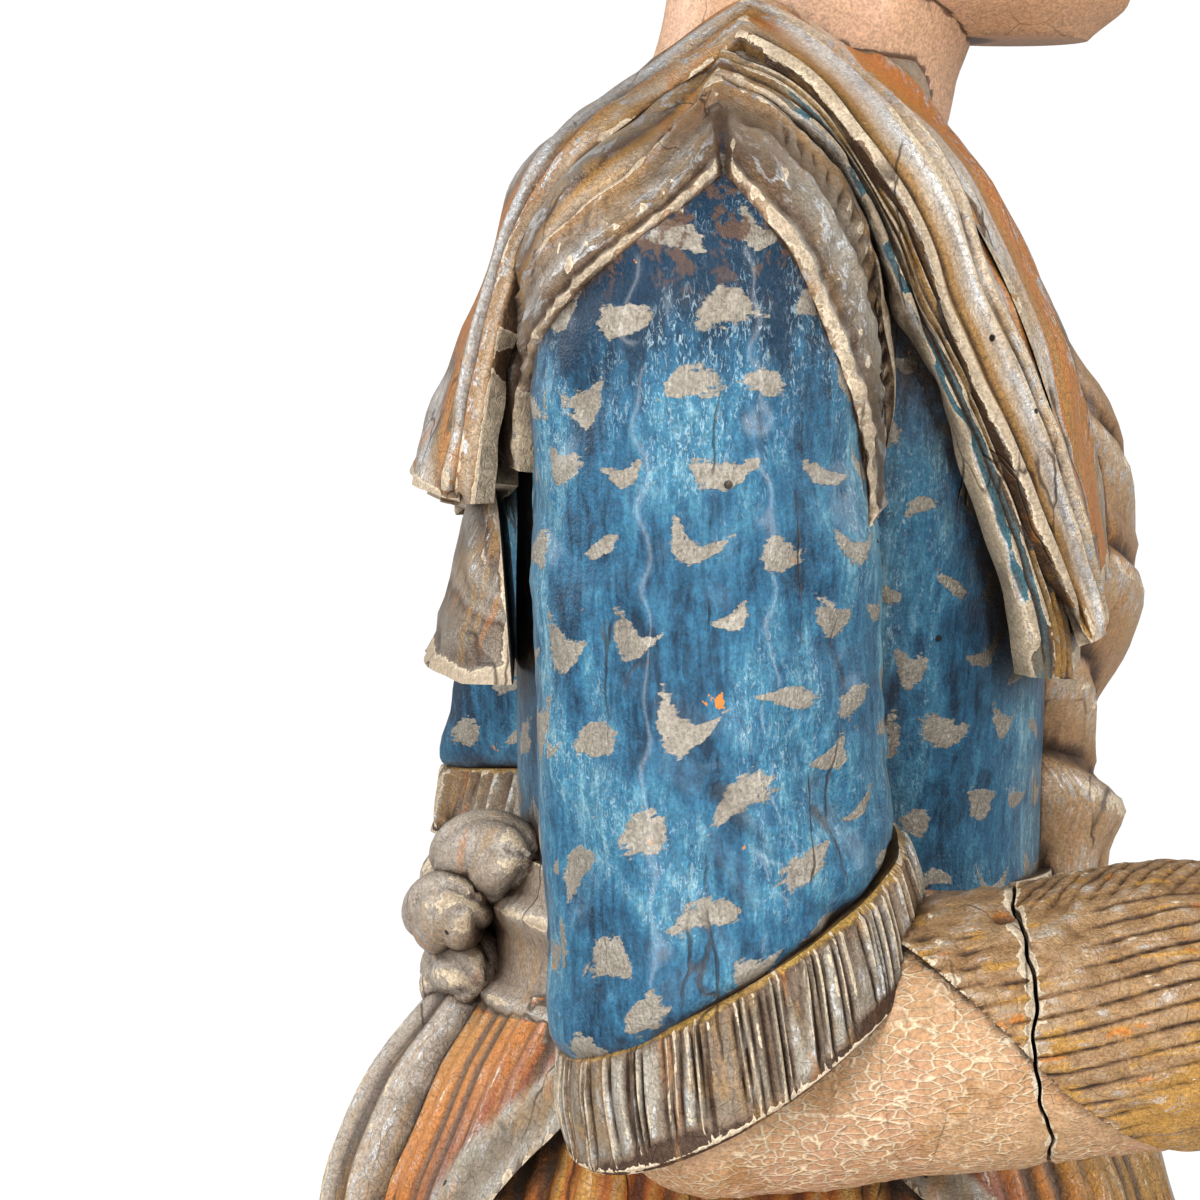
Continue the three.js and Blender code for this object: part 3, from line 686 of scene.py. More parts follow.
class Arm:
    def __init__(self, shoulder, elbow, forearm, sleeve, droop, reach, outward):
        self.shoulder, self.elbow = np.array(shoulder, float), np.array(elbow, float)
        self.forearm = np.array(forearm, float) / np.linalg.norm(forearm)
        self.sleeve, self.droop, self.reach, self.outward = sleeve, droop, reach, outward
        down = self.elbow - self.shoulder
        self.down = down / np.linalg.norm(down)
        forward = self.forearm - self.down * (self.forearm @ self.down)
        self.forward = forward / np.linalg.norm(forward)
        across = np.cross(self.forward, self.down)
        across /= np.linalg.norm(across)
        self.across = -across if across[0] * outward < 0 else across
        self.turn = 1 if np.cross(self.across, self.forward) @ self.down > 0 else -1


RIGHT_ARM = Arm((-136, 27, 760), (-138, 19, 551), (0.01, -0.98, 0.15), 178, 11, 188, -1)
LEFT_ARM = Arm((131, 24, 758), (214, 50, 604), (-0.76, -0.64, 0.11), 148, 2, 150, 1)
ACROSS_RADIUS, ALONG_RADIUS = 42.0, 45.0
CUFF_LENGTH = 21.0
ELBOW_RADIUS, MUSCLE_RADIUS, WRIST_RADIUS = 33.0, 36.5, 21.0


def sleeve_skin(arm, around, downs, ring, paint, carve=None, dense=0.4):
    def place(angle, down, share):
        outside = np.sin(angle) * -arm.turn > 0
        side, back = oval(angle, 1, 1, np.where(outside, 2.0, 4.0))
        out = side * -arm.turn * np.where(outside, 1, 1.15)
        fore = -back
        depth, width, rise, droop, swell, lean = ring(down)
        sink = depth + share * (-rise * fore + droop * out)
        growth, ridge, edge = 0, np.full(angle.shape, 0.5), np.full(angle.shape, 40.0)
        if carve:
            base = (
                arm.shoulder
                + sink[..., None] * arm.down
                + (out * ACROSS_RADIUS * width)[..., None] * arm.across
                + (fore * ALONG_RADIUS * width)[..., None] * arm.forward
            )
            growth, ridge, edge = carve(base, angle, down, out, fore)
            ridge = ridge + np.zeros(angle.shape)
            edge = edge + np.zeros(angle.shape)
        swell = swell + growth * np.clip(width * 2, 0, 1)
        points = (
            arm.shoulder
            + sink[..., None] * arm.down
            + (share * out * (ACROSS_RADIUS * width + swell))[..., None] * arm.across
            + (lean + share * fore * (ALONG_RADIUS * width + swell))[..., None] * arm.forward
        )
        return points, ridge, edge

    dense_at = -arm.turn * math.pi / 2
    return rolled(around, downs, place, paint, dense=dense, dense_at=dense_at, girth=44)


DOME_SHARE = 0.3


def sleeve_ring(arm):
    def ring(along):
        dome = ACROSS_RADIUS * 0.95
        in_dome = np.clip(along / DOME_SHARE, 0, 1)
        past = (along - DOME_SHARE) / (1 - DOME_SHARE)
        depth = np.where(along < DOME_SHARE, -dome * np.cos(in_dome * np.pi / 2), past * arm.sleeve)
        slack = 0.95 + 0.07 * np.sin(np.pi * np.clip(along - DOME_SHARE, 0, 1))
        rise = smooth(along, 0.6, 1)
        width = np.maximum(0.02, np.sin(in_dome * np.pi / 2)) * slack
        return depth, width, 24 * rise, arm.droop * rise, 0.0, 0.0

    return ring


def sleeve(arm, around, rows):
    """The slack sleeve: shallow hollows down its outside and creases gathering to the elbow."""

    def carve(base, angle, down, out, fore):
        y, z = base[..., 1], base[..., 2]
        outer = smooth(out, 0.1, 0.6)
        middle = arm.shoulder[1] + (arm.elbow[1] - arm.shoulder[1]) * np.clip(down - 0.3, 0, 1)
        growth = -1.2 * bump(y, middle + 1, 6.5) * smooth(z, 600, 640) * smooth(-z, -735, -690) * outer
        growth += 0.9 * bump(y, middle + 17, 8) * outer + 0.9 * bump(y, middle - 17, 8) * outer
        # A long crease runs forward and down over the elbow, with lesser ones above it.
        for start, end, depth, width in (
            ((20, 626), (-24, 584), 1.5, 4.2),
            ((6, 646), (-24, 608), 0.9, 5.0),
            ((30, 628), (2, 588), 0.9, 5.5),
            ((48, 668), (60, 600), 1.6, 5.5),
            ((38, 750), (64, 716), 1.2, 5.0),
        ):
            line = curve_through(
                [start, ((start[0] + end[0]) / 2 + 2, (start[1] + end[1]) / 2 - 3), end], 5
            )
            near = distance_to(line, base[..., 1:])
            growth -= depth * bump(near, 0, width) * outer
            growth += 0.5 * depth * bump(near, 1.7 * width, width) * outer
        growth += 0.9 * hand_carved(base, 24, 21) + 0.4 * hand_carved(base, 6, 22)
        growth += 1.2 * bump(down, 0.95, 0.03) - 3.2 * smooth(down, 0.975, 1.0)
        return growth, 0.5, 40.0

    downs = np.unique(np.append(np.linspace(0, 1, rows + 1) ** 0.8, [0.965, 0.975, 0.985, 0.993]))
    return sleeve_skin(arm, around, downs, sleeve_ring(arm), "cloth", carve)


def cuff(arm, pleats, steps):
    """A thick pleated cuff below the seam. It flares, most of all to the front."""
    scatter = np.random.default_rng(31)
    deepness = scatter.uniform(0.25, 1.3, pleats)
    shift = scatter.uniform(-0.22, 0.22, pleats)

    def ring(down):
        depth = arm.sleeve - 4 + down * (CUFF_LENGTH + 4)
        bulge = 0.02 * np.sin(np.pi * np.clip(down, 0, 1))
        return (
            depth, 1.04 + 0.05 * down + bulge, 24 + 2 * down, arm.droop * (1 + 0.8 * down), 0.0,
            3 + 3 * down
        )

    def carve(base, angle, down, out, fore):
        turn = (angle + np.pi) / (2 * np.pi) * pleats
        turn = (
            turn + 0.5 * np.sin(17 * angle) + 0.4 * np.sin(31 * angle + 1) + 0.5 * down * np.sin(9 * angle)
        )
        number = np.floor(turn).astype(int) % pleats
        across = turn - np.floor(turn) + shift[number] * down
        rib = np.abs(np.sin(np.pi * across)) ** 0.7
        long = 0.9 + 0.07 * np.sin(5 * angle + deepness[number])
        body = smooth(down, 0.02, 0.12) * (1 - smooth(down, long - 0.08, long))
        growth = (2.3 * rib * deepness[number] - 1.8) * body - 1.6 * (1 - smooth(down, 0.0, 0.08))
        growth = growth - 1.4 * smooth(down, 0.97, 1.0)
        growth += 0.6 * hand_carved(base, 15, 33)
        ridge = np.clip(rib * deepness[number] * body, 0, 1)
        # Edge distance here is the way down from the seam, and small again at the hem.
        return growth, ridge, np.minimum(down * 25, 6 + (1 - down) * 25)

    downs = np.append(np.linspace(0, 1, 13), 1.0)
    downs[-1] = 1.0
    downs = np.unique(np.concatenate([downs, [0.03, 0.97, 0.99]]))
    return sleeve_skin(arm, pleats * steps, downs, ring, "cuff", carve, dense=0.0)


def forearm_radius(arm, reach):
    swelling = smooth(reach, 0, arm.reach * 0.55)
    taper = smooth(reach, arm.reach * 0.6, arm.reach)
    return lerp(lerp(ELBOW_RADIUS, MUSCLE_RADIUS, swelling), WRIST_RADIUS, taper)


def forearm_skin(arm, around, downs, ring, paint, carve=None):
    along = arm.forearm
    across = np.cross(along, [0, 0, 1])
    across /= np.linalg.norm(across)
    up = np.cross(across, along)

    def place(angle, down, share):
        reach, size, slant = ring(down, angle)
        ridge, edge = np.full(angle.shape, 0.5), np.full(angle.shape, 40.0)
        if carve:
            growth, ridge, edge = carve(reach + slant * np.cos(angle), angle, down)
            size = size + growth
            ridge = ridge + np.zeros(angle.shape)
            edge = edge + np.zeros(angle.shape)
        points = (
            arm.elbow
            + (reach + share * slant * np.cos(angle))[..., None] * along
            + (share * size * 0.94 * np.sin(angle))[..., None] * across
            + (share * size * np.cos(angle))[..., None] * up
        )
        return points, ridge, edge

    return rolled(around, downs, place, paint, dense=0.3, dense_at=SIDE_ANGLE[arm.outward], girth=34)


SIDE_ANGLE = {-1: math.pi / 2, 1: -math.pi / 2}
SEAM_REACH = 80.0 / math.hypot(0.98, 0.15) * 0.998
CRACK_HALF = 0.55


def crack_wander(angle):
    """How the crack between the two blocks wanders along the arm."""
    return (
        1.3 * np.sin(2 * angle + 0.7) + 0.9 * np.sin(5 * angle + 2.0) + 0.45 * np.sin(11 * angle)
        + 0.25 * np.sin(23 * angle + 1)
    )


def bare_forearm(arm, start, end, around, rows, broken_start=False, broken_end=False, sheath=False):
    """The arm from one reach to another, bare or as the sheath of a bracer. A broken end follows
    the crack and is rough."""

    def ring(down, angle):
        begin = start + (crack_wander(angle) if broken_start else 0)
        finish = end + (crack_wander(angle) if broken_end else 0)
        reach = begin + (finish - begin) * down
        round_end = np.sqrt(np.clip(1 - (np.minimum(reach, 0) / ELBOW_RADIUS) ** 2, 0.0004, 1))
        size = round_end * (forearm_radius(arm, reach) + (SHEATH * smooth(reach, -26, -6) if sheath else 0))
        if broken_end:
            size = size - 0.8 * (1 - smooth(end - reach, 0, 1.3))
            hole = bump(angle, HOLE_ANGLE, 0.075) * bump(reach, end - 2, 2.6)
            size = size - 4.5 * hole
        if broken_start:
            size = size - 0.8 * (1 - smooth(reach - start, 0, 1.3))
        return reach, size, 0.0

    def carve(reach, angle, down):
        spot = np.stack([reach, 34 * np.sin(angle), 34 * np.cos(angle)], -1)
        rough = 0.7 * hand_carved(spot, 22, 51) + 0.35 * hand_carved(spot, 6, 52)
        if not sheath:
            return rough + 0.25 * hand_carved(spot, 2.6, 54), 0.5, 40.0
        along = smooth(reach, 4, 30) * (1 - smooth(reach, arm.reach - 18, arm.reach - 12))
        turn = angle + 0.05 * np.sin(reach / 17)
        long_lines = np.abs(np.sin(turn * 23 + 0.5 * hand_carved(spot, 60, 55)))
        broken = smooth(hand_carved(spot, 30, 56), -0.5, 0.1)
        incised = bump(long_lines, 0, 0.3) * along * broken
        top = smooth(np.cos(angle), 0.72, 0.95)
        hatch = np.abs(np.sin((reach + 26 * np.abs(angle)) * np.pi / 5.5))
        hatching = bump(hatch, 0, 0.32) * top * smooth(reach, 70, 90) * along
        beads = bump(reach, arm.reach - 9, 1.8) + bump(reach, arm.reach - 3, 1.8)
        flare = 4 * bump(reach, arm.reach, 10)
        worn = 0.5 * hand_carved(spot, 4, 57)
        growth = rough + worn - 0.9 * incised * (1 - top) - 1.0 * hatching + 1.6 * beads + flare
        ridge = 0.55 + 0.25 * worn - 0.45 * incised * (1 - top) - 0.45 * hatching + 0.3 * beads
        return growth, np.clip(ridge, 0, 1), 40.0

    downs = np.linspace(0, 1, rows + 1)
    return forearm_skin(arm, around, downs, ring, "bracer" if sheath else "arm", carve)


SHEATH = 2.6
HOLE_ANGLE = 0.55
RIM = curve_through([
    (10, 640), (-14, 598), (-33, 582), (-52, 565), (-68, 549), (-87, 536), (-105, 532), (-135, 536),
    (-170, 560), (-230, 600),
])


def under_rim():
    """Everything below the bracer's slanting rim, in the side view."""
    return np.vstack([RIM, [(-230, 400), (60, 400), (60, 640)]])


def bracer(arm, around, rows):
    """A fitted bracer from a slanted rim to the wrist, with long incised lines."""
    start = arm.reach * 0.48

    def ring(down, angle):
        reach = start + down * (arm.reach - start)
        size = forearm_radius(arm, reach) + 3 + 4 * bump(reach, arm.reach, 12)
        return reach, size, -36 * (1 - down) ** 1.5

    def carve(reach, angle, down):
        rim = bump(down, 0.0, 0.035) * 1.6
        lines = (
            bump(np.abs(np.sin(angle * 11)), 0, 0.3) * smooth(down, 0.1, 0.2) * (1 - smooth(down, 0.8, 0.9))
        )
        return rim - 0.8 * lines, np.clip(0.6 + 0.3 * rim - 0.5 * lines, 0, 1), 40.0

    return forearm_skin(arm, around, np.linspace(0, 1, rows + 1), ring, "bracer", carve)


def fist(arm, size, around, rows):
    """A closed hand: fingers curled one above the other, the thumb over them."""
    along = arm.forearm
    inward = np.cross(along, [0, 0, 1])
    inward /= np.linalg.norm(inward)
    if inward[0] * arm.outward > 0:
        inward = -inward
    up = np.cross(inward, along)
    if up[2] < 0:
        up = -up
    wrist = arm.elbow + along * arm.reach

    def place(angle, down, share):
        narrowing = np.sin(np.pi * (0.1 + 0.8 * down)) ** 0.35
        parting = np.abs(np.sin(4 * np.pi * down)) ** 0.5
        finger = 0.86 + 0.14 * lerp(1, parting, 0.35 + 0.65 * smooth(-np.cos(angle), -0.5, 0.6))
        knuckle = 1 + 0.05 * np.abs(np.sin(angle * 1.5 + 0.6))
        side, ahead = oval(angle, 21, 25.6, 2.6)
        points = (
            wrist
            + (size * (28 + share * narrowing * finger * knuckle * ahead))[..., None] * along
            + (size * (4 + share * narrowing * finger * side))[..., None] * inward
            + (size * (27 - 54 * down))[..., None] * up
        )
        return points, np.clip(parting + 0.2, 0, 1) * np.ones(angle.shape), np.full(angle.shape, 40.0)

    hand = rolled(around, np.linspace(0, 1, rows + 1), place, "arm", girth=24)
    centre = wrist + size * (34 * along + 20 * inward + 18 * up)
    thumb = lobe((0, 0, 0), (22 * size, 10 * size, 9 * size), "arm", detail=22)
    thumb.points = (
        centre
        + thumb.points[:, :1] * along
        + thumb.points[:, 1:2] * inward
        + thumb.points[:, 2:] * np.cross(along, inward)
    )
    palm_middle = wrist + size * (14 * along)
    palm = lobe((0, 0, 0), (26 * size, 15 * size, 20 * size), "arm", detail=28)
    palm.points = (
        palm_middle
        + palm.points[:, :1] * along
        + palm.points[:, 1:2] * inward
        + palm.points[:, 2:] * up
    )
    return [hand, thumb, palm]


# Belt, skirts, robe, boots, mantle and sash.

BELT = [
    (603, 89, -77, 81), (594, 92, -79, 82), (587, 96, -82, 86), (580, 93, -79, 83), (568, 94, -81, 84),
    (561, 98, -85, 88), (553, 94, -82, 85),
]
SKIRT = [
    (566, 90, -78, 82), (545, 100, -88, 93), (515, 112, -99, 106), (460, 130, -114, 122),
    (380, 145, -126, 136), (318, 152, -131, 143),
]
APRON = [
    (566, 93, -82, 86), (545, 107, -95, 100), (515, 119, -107, 114), (460, 138, -123, 131),
    (408, 150, -134, 142),
]
ROBE = [
    (360, 122, -104, 112), (200, 120, -102, 108), (68, 134, -114, 119), (62, 138, -118, 124),
    (13, 146, -124, 130), (9, 142, -120, 126),
]
MANTLE = [
    (796, 44, -54, -30), (768, 56, -70, -30), (738, 60, -89, -30), (722, 60, -100, -30),
    (697, 57, -101, -30), (690, 56, -104, -30), (664, 50, -102, -30), (647, 44, -93, -30),
    (628, 37, -91, -30), (614, 35, -99, -30), (600, 32, -94, -30), (560, 34, -97, -30),
    (500, 44, -114, -40), (440, 56, -134, -50),
]
MANTLE_PLACE = 16.0
SKIRT_FOLDS, ROBE_FOLDS = 18, 9
APRON_FRONT = curve_through([(22, 560), (6, 548), (-40, 510), (-82, 452), (-104, 360)])
APRON_BACK = curve_through([(112, 360), (98, 452), (86, 505), (56, 540)])


def belt():
    def dip(x, y, down, height):
        return -np.abs(x) * 0.04 + 8 * smooth(y, 40, 92) - 3

    def carve(base, angle, down):
        cords = bump(down, 0.3, 0.045) + bump(down, 0.82, 0.045)
        weave = 0.3 * np.cos(angle * 90) * cords
        return 0.6 * cords + weave + 0.4 * hand_carved(base, 14, 61), 0.35 + 0.5 * cords, 40.0

    return standing(120, 22, BELT, "silver", power=2.3, level=dip, carve=carve, girth=94)


def pleated(folds, fine, depth, seed):
    """Broad folds with fine pleats on them, deeper towards the hem."""

    def carve(base, angle, down):
        wander = 0.5 * hand_carved(base, 50, seed)
        broad = np.cos(angle * folds + wander)
        fine_wave = np.cos(angle * fine + 3 * wander)
        growth = (depth[0] + depth[1] * down) * broad + (0.6 + 0.9 * down) * fine_wave
        ridge = np.clip(0.5 + 0.25 * broad + 0.3 * fine_wave, 0, 1)
        return growth, ridge, base[..., 2] * 0.0 + (1 - down) * 200

    return carve


def skirt():
    def wave(x, y, down, height):
        return -6 * down * np.sin(6 * np.arctan2(y, x))

    folds = pleated(SKIRT_FOLDS, SKIRT_FOLDS * 4, (1.2, 1.6), 71)

    def carve(base, angle, down):
        growth, ridge, edge = folds(base, angle, down)
        return growth + 4 * down * np.cos(6 * angle), ridge, edge

    return standing(300, 22, SKIRT, "pleats", power=2.2, level=wave, carve=carve, girth=130)


def apron():
    def rise(x, y, down, height):
        return 26 * down**2 * np.clip(np.abs(x) / 120, 0, 1) ** 2

    folds = pleated(SKIRT_FOLDS, SKIRT_FOLDS * 4, (1.0, 1.2), 72)

    def carve(base, angle, down):
        growth, ridge, _ = folds(base, angle, down)
        side = base[..., 1:]
        distance = np.minimum(distance_to(APRON_FRONT, side), distance_to(APRON_BACK, side))
        distance = np.minimum(distance, (1 - down) * 150)
        border = 1 - smooth(distance, 10, 13)
        growth = growth * (1 - 0.7 * border) + 1.6 * bump(distance, 11, 1.6) + 1.2 * bump(distance, 2, 1.6)
        ridge = lerp(ridge, 0.45 + 0.5 * bump(distance, 11, 1.8) + 0.4 * bump(distance, 2, 2), border)
        return growth, ridge, distance

    return standing(260, 24, APRON, "apron", power=2.2, level=rise, carve=carve, girth=130)


def robe():
    def carve(base, angle, down):
        wander = 0.5 * hand_carved(base, 70, 81)
        turn = ROBE_FOLDS * angle + wander * down
        growth = (2 + 5 * down) * np.cos(turn) + (1 + 1.5 * down) * (np.abs(np.cos(turn)) ** 0.6 - 0.6)
        rib = bump(base[..., 2], 66, 2.4)
        return growth + 1.6 * rib, np.clip(0.5 + 0.3 * np.cos(turn) + 0.3 * rib, 0, 1), base[..., 2]

    return standing(172, 34, ROBE, "robe", power=2.2, carve=carve, girth=130, dense=0.2)


def boots():
    skins = []
    for side in (-1, 1):
        toe = lobe((side * 52, -105, 20), (33, 60, 21), "hair", (0, 0, side * 0.14), 36)
        toe.points[:, 2] = np.maximum(toe.points[:, 2], 0.0)
        skins.append(toe)
    return skins


def sole():
    return standing(72, 2, [(16, 128, -106, 112), (0, 128, -106, 112)], "hair", power=2.2, girth=100)


def mantle():
    """Cloth gathered down the chest: hanging swags to the belt, then long folds below it."""

    def lift(x, y, down, height):
        return 0.004 * x * x

    def carve(base, angle, down):
        height = base[..., 2]
        x = base[..., 0]
        side = 54 - np.abs(x - 6)
        swag = 0.0
        for crease, slope in ((730, 0.5), (693, 0.25), (667, 0.7), (640, 0.3)):
            gap = height - (crease - slope * side) + 3 * hand_carved(base, 60, int(crease))
            swag = swag - 1.5 * bump(gap, 0, 2.6) + 0.8 * bump(gap, -9, 7) - 0.4 * bump(gap, 7, 5)
        falling = 1.6 * np.abs(np.cos(4 * angle + 0.5 * hand_carved(base, 40, 92))) ** 0.7 - 0.8
        upper = smooth(height, 596, 612)
        growth = upper * 2.4 * swag + (1 - upper) * 2.4 * falling + 0.5 * hand_carved(base, 12, 93)
        ridge = np.clip(0.5 + upper * 0.5 * swag + (1 - upper) * 0.5 * falling, 0, 1)
        return growth, ridge, 40.0

    skin = standing(110, 96, MANTLE, "mantle", power=2.4, level=lift, carve=carve, girth=60)
    skin.points[:, 0] += MANTLE_PLACE
    return skin


def sash():
    def folds(unit):
        return 1.3 * np.cos(unit[..., 0] * 9 + unit[..., 2] * 3) * (1 - unit[..., 2] ** 2)

    def crumpled(unit):
        turns = np.arctan2(unit[..., 2], unit[..., 1] + 0.2)
        return 2.2 * np.abs(np.sin(2.5 * turns + 2.5 * unit[..., 0])) ** 0.6 - 1.6

    skins = [
        lobe((0, 90, 589), (17, 15, 14), "silver", detail=30, carve=folds),
        lobe((-6, 92, 568), (14, 12, 13), "silver", detail=28, carve=crumpled),
        lobe((-30, 84, 603), (24, 14, 13), "silver", (0.5, 0.35, 0.35), 48, crumpled),
        lobe((-27, 95, 588), (21, 12, 12), "silver", (-0.2, 0.1, 0.3), 44, crumpled),
        lobe((-20, 90, 573), (16, 11, 11), "silver", (0.1, -0.4, 0.2), 38, crumpled),
        lobe((32, 88, 597), (27, 14, 16), "silver", (0.2, -0.3, -0.3), 32, crumpled),
    ]
    sizes = through(APRON)
    for side in (-1, 1):

        def place(angle, down, share, side=side):
            stand = 6 + 9 * bump(down, 0.24, 0.2) + 5 * bump(down, 0.62, 0.14)
            x, y = oval(angle, 15 + 12 * down, stand, 2.4)
            height = 580 - 205 * down
            back = sizes(height)[..., 2]
            wave = np.where(y > 0, 2.6 * np.cos(x * 0.33 + side + 5 * down), 0)
            spread = side * (12 + 24 * down)
            points = np.stack([spread + x * share, back + (y + wave) * share, height], -1)
            ridge = np.clip(0.45 + 0.2 * wave - 0.5 * bump(down, 0.45, 0.07), 0, 1)
            edge = (1 - down) * 200
            return points, ridge, edge

        skins.append(rolled(44, np.linspace(0, 1, 34), place, "silver", girth=24))
    return skins


# Paint. A small language for shader nodes, then the effects that the paints share.


class Nodes:
    def __init__(self, tree):
        self.tree = tree
        tree.nodes.clear()

    def add(self, kind, settings=None, **inputs):
        node = self.tree.nodes.new(kind)
        for name, value in (settings or {}).items():
            setattr(node, name, value)
        for name, value in inputs.items():
            self.feed(node.inputs[name.replace("_", " ")], value)
        return node

    def feed(self, socket, value):
        if isinstance(value, bpy.types.NodeSocket):
            self.tree.links.new(value, socket)
        elif value is not None:
            if socket.type == "RGBA" and len(value) == 3:
                value = (*value, 1.0)
            socket.default_value = value

    def math(self, operation, a, b=0.0, c=0.0, clamp=False):
        node = self.tree.nodes.new("ShaderNodeMath")
        node.operation, node.use_clamp = operation, clamp
        for socket, value in zip(node.inputs, (a, b, c)):
            self.feed(socket, value)
        return node.outputs[0]

    def vector(self, operation, a, b=(0, 0, 0)):
        node = self.tree.nodes.new("ShaderNodeVectorMath")
        node.operation = operation
        self.feed(node.inputs[0], a)
        self.feed(node.inputs[1], b)
        return node.outputs[0]

    def mix(self, share, a, b, blend="MIX"):
        node = self.tree.nodes.new("ShaderNodeMix")
        node.data_type, node.blend_type = "RGBA", blend
        self.feed(node.inputs[0], share)
        self.feed(node.inputs[6], a)
        self.feed(node.inputs[7], b)
        return node.outputs[2]

    def between(self, value, low, high, to_low=0.0, to_high=1.0):
        node = self.tree.nodes.new("ShaderNodeMapRange")
        node.interpolation_type = "SMOOTHSTEP"
        for socket, item in zip(node.inputs, (value, low, high, to_low, to_high)):
            self.feed(socket, item)
        return node.outputs[0]

    def stretched(self, vector, scale):
        return self.vector("MULTIPLY", vector, scale)

    def noise(self, vector, scale, detail=3.0, roughness=0.55, distortion=0.0):
        node = self.add(
            "ShaderNodeTexNoise", Vector=vector, Scale=scale, Detail=detail, Roughness=roughness
        )
        self.feed(node.inputs["Distortion"], distortion)
        return node.outputs["Fac"]

    def cells(self, vector, scale, feature="F1", randomness=1.0):
        node = self.add("ShaderNodeTexVoronoi", {"feature": feature}, Vector=vector, Scale=scale)
        self.feed(node.inputs["Randomness"], randomness)
        return node.outputs["Distance"]

    def ramp(self, share, stops):
        node = self.tree.nodes.new("ShaderNodeValToRGB")
        elements = node.color_ramp.elements
        while len(elements) < len(stops):
            elements.new(0.5)
        for element, (at, colour) in zip(elements, stops):
            element.position = at
            element.color = (*colour, 1.0)
        self.feed(node.inputs[0], share)
        return node.outputs["Color"]

    def attribute(self, name):
        return self.add("ShaderNodeAttribute", {"attribute_name": name}).outputs["Fac"]

    def place(self):
        return self.add("ShaderNodeTexCoord").outputs["Object"]


def effect(name, inputs, outputs, build):
    """A shader group with named sockets, built once."""
    if name in bpy.data.node_groups:
        return bpy.data.node_groups[name]
    tree = bpy.data.node_groups.new(name, "ShaderNodeTree")
    for label, kind, default in inputs:
        socket = tree.interface.new_socket(label, in_out="INPUT", socket_type=kind)
        if default is not None:
            socket.default_value = default
    for label, kind in outputs:
        tree.interface.new_socket(label, in_out="OUTPUT", socket_type=kind)
    nodes = Nodes(tree)
    given = tree.nodes.new("NodeGroupInput").outputs
    result = tree.nodes.new("NodeGroupOutput").inputs
    for label, socket in build(nodes, given).items():
        tree.links.new(socket, result[label])
    return tree


def use(nodes, tree, **inputs):
    node = nodes.tree.nodes.new("ShaderNodeGroup")
    node.node_tree = tree
    for name, value in inputs.items():
        nodes.feed(node.inputs[name.replace("_", " ")], value)
    return node.outputs


COLOUR, VALUE, VECTOR = "NodeSocketColor", "NodeSocketFloat", "NodeSocketVector"
# A dark brown for cracks, painted brows and eyes, and grime and painted shade in hollows.
DARK_BROWN = (0.045, 0.026, 0.015)
SHELTER_REACH = 0.016  # metres within which another surface makes a hollow
SPECULAR = 0.26
VARNISH, VARNISH_ROUGHNESS = 0.15, 0.28  # where a paint names none of its own
RELIEF = 0.0006  # metres that paint and grain stand out


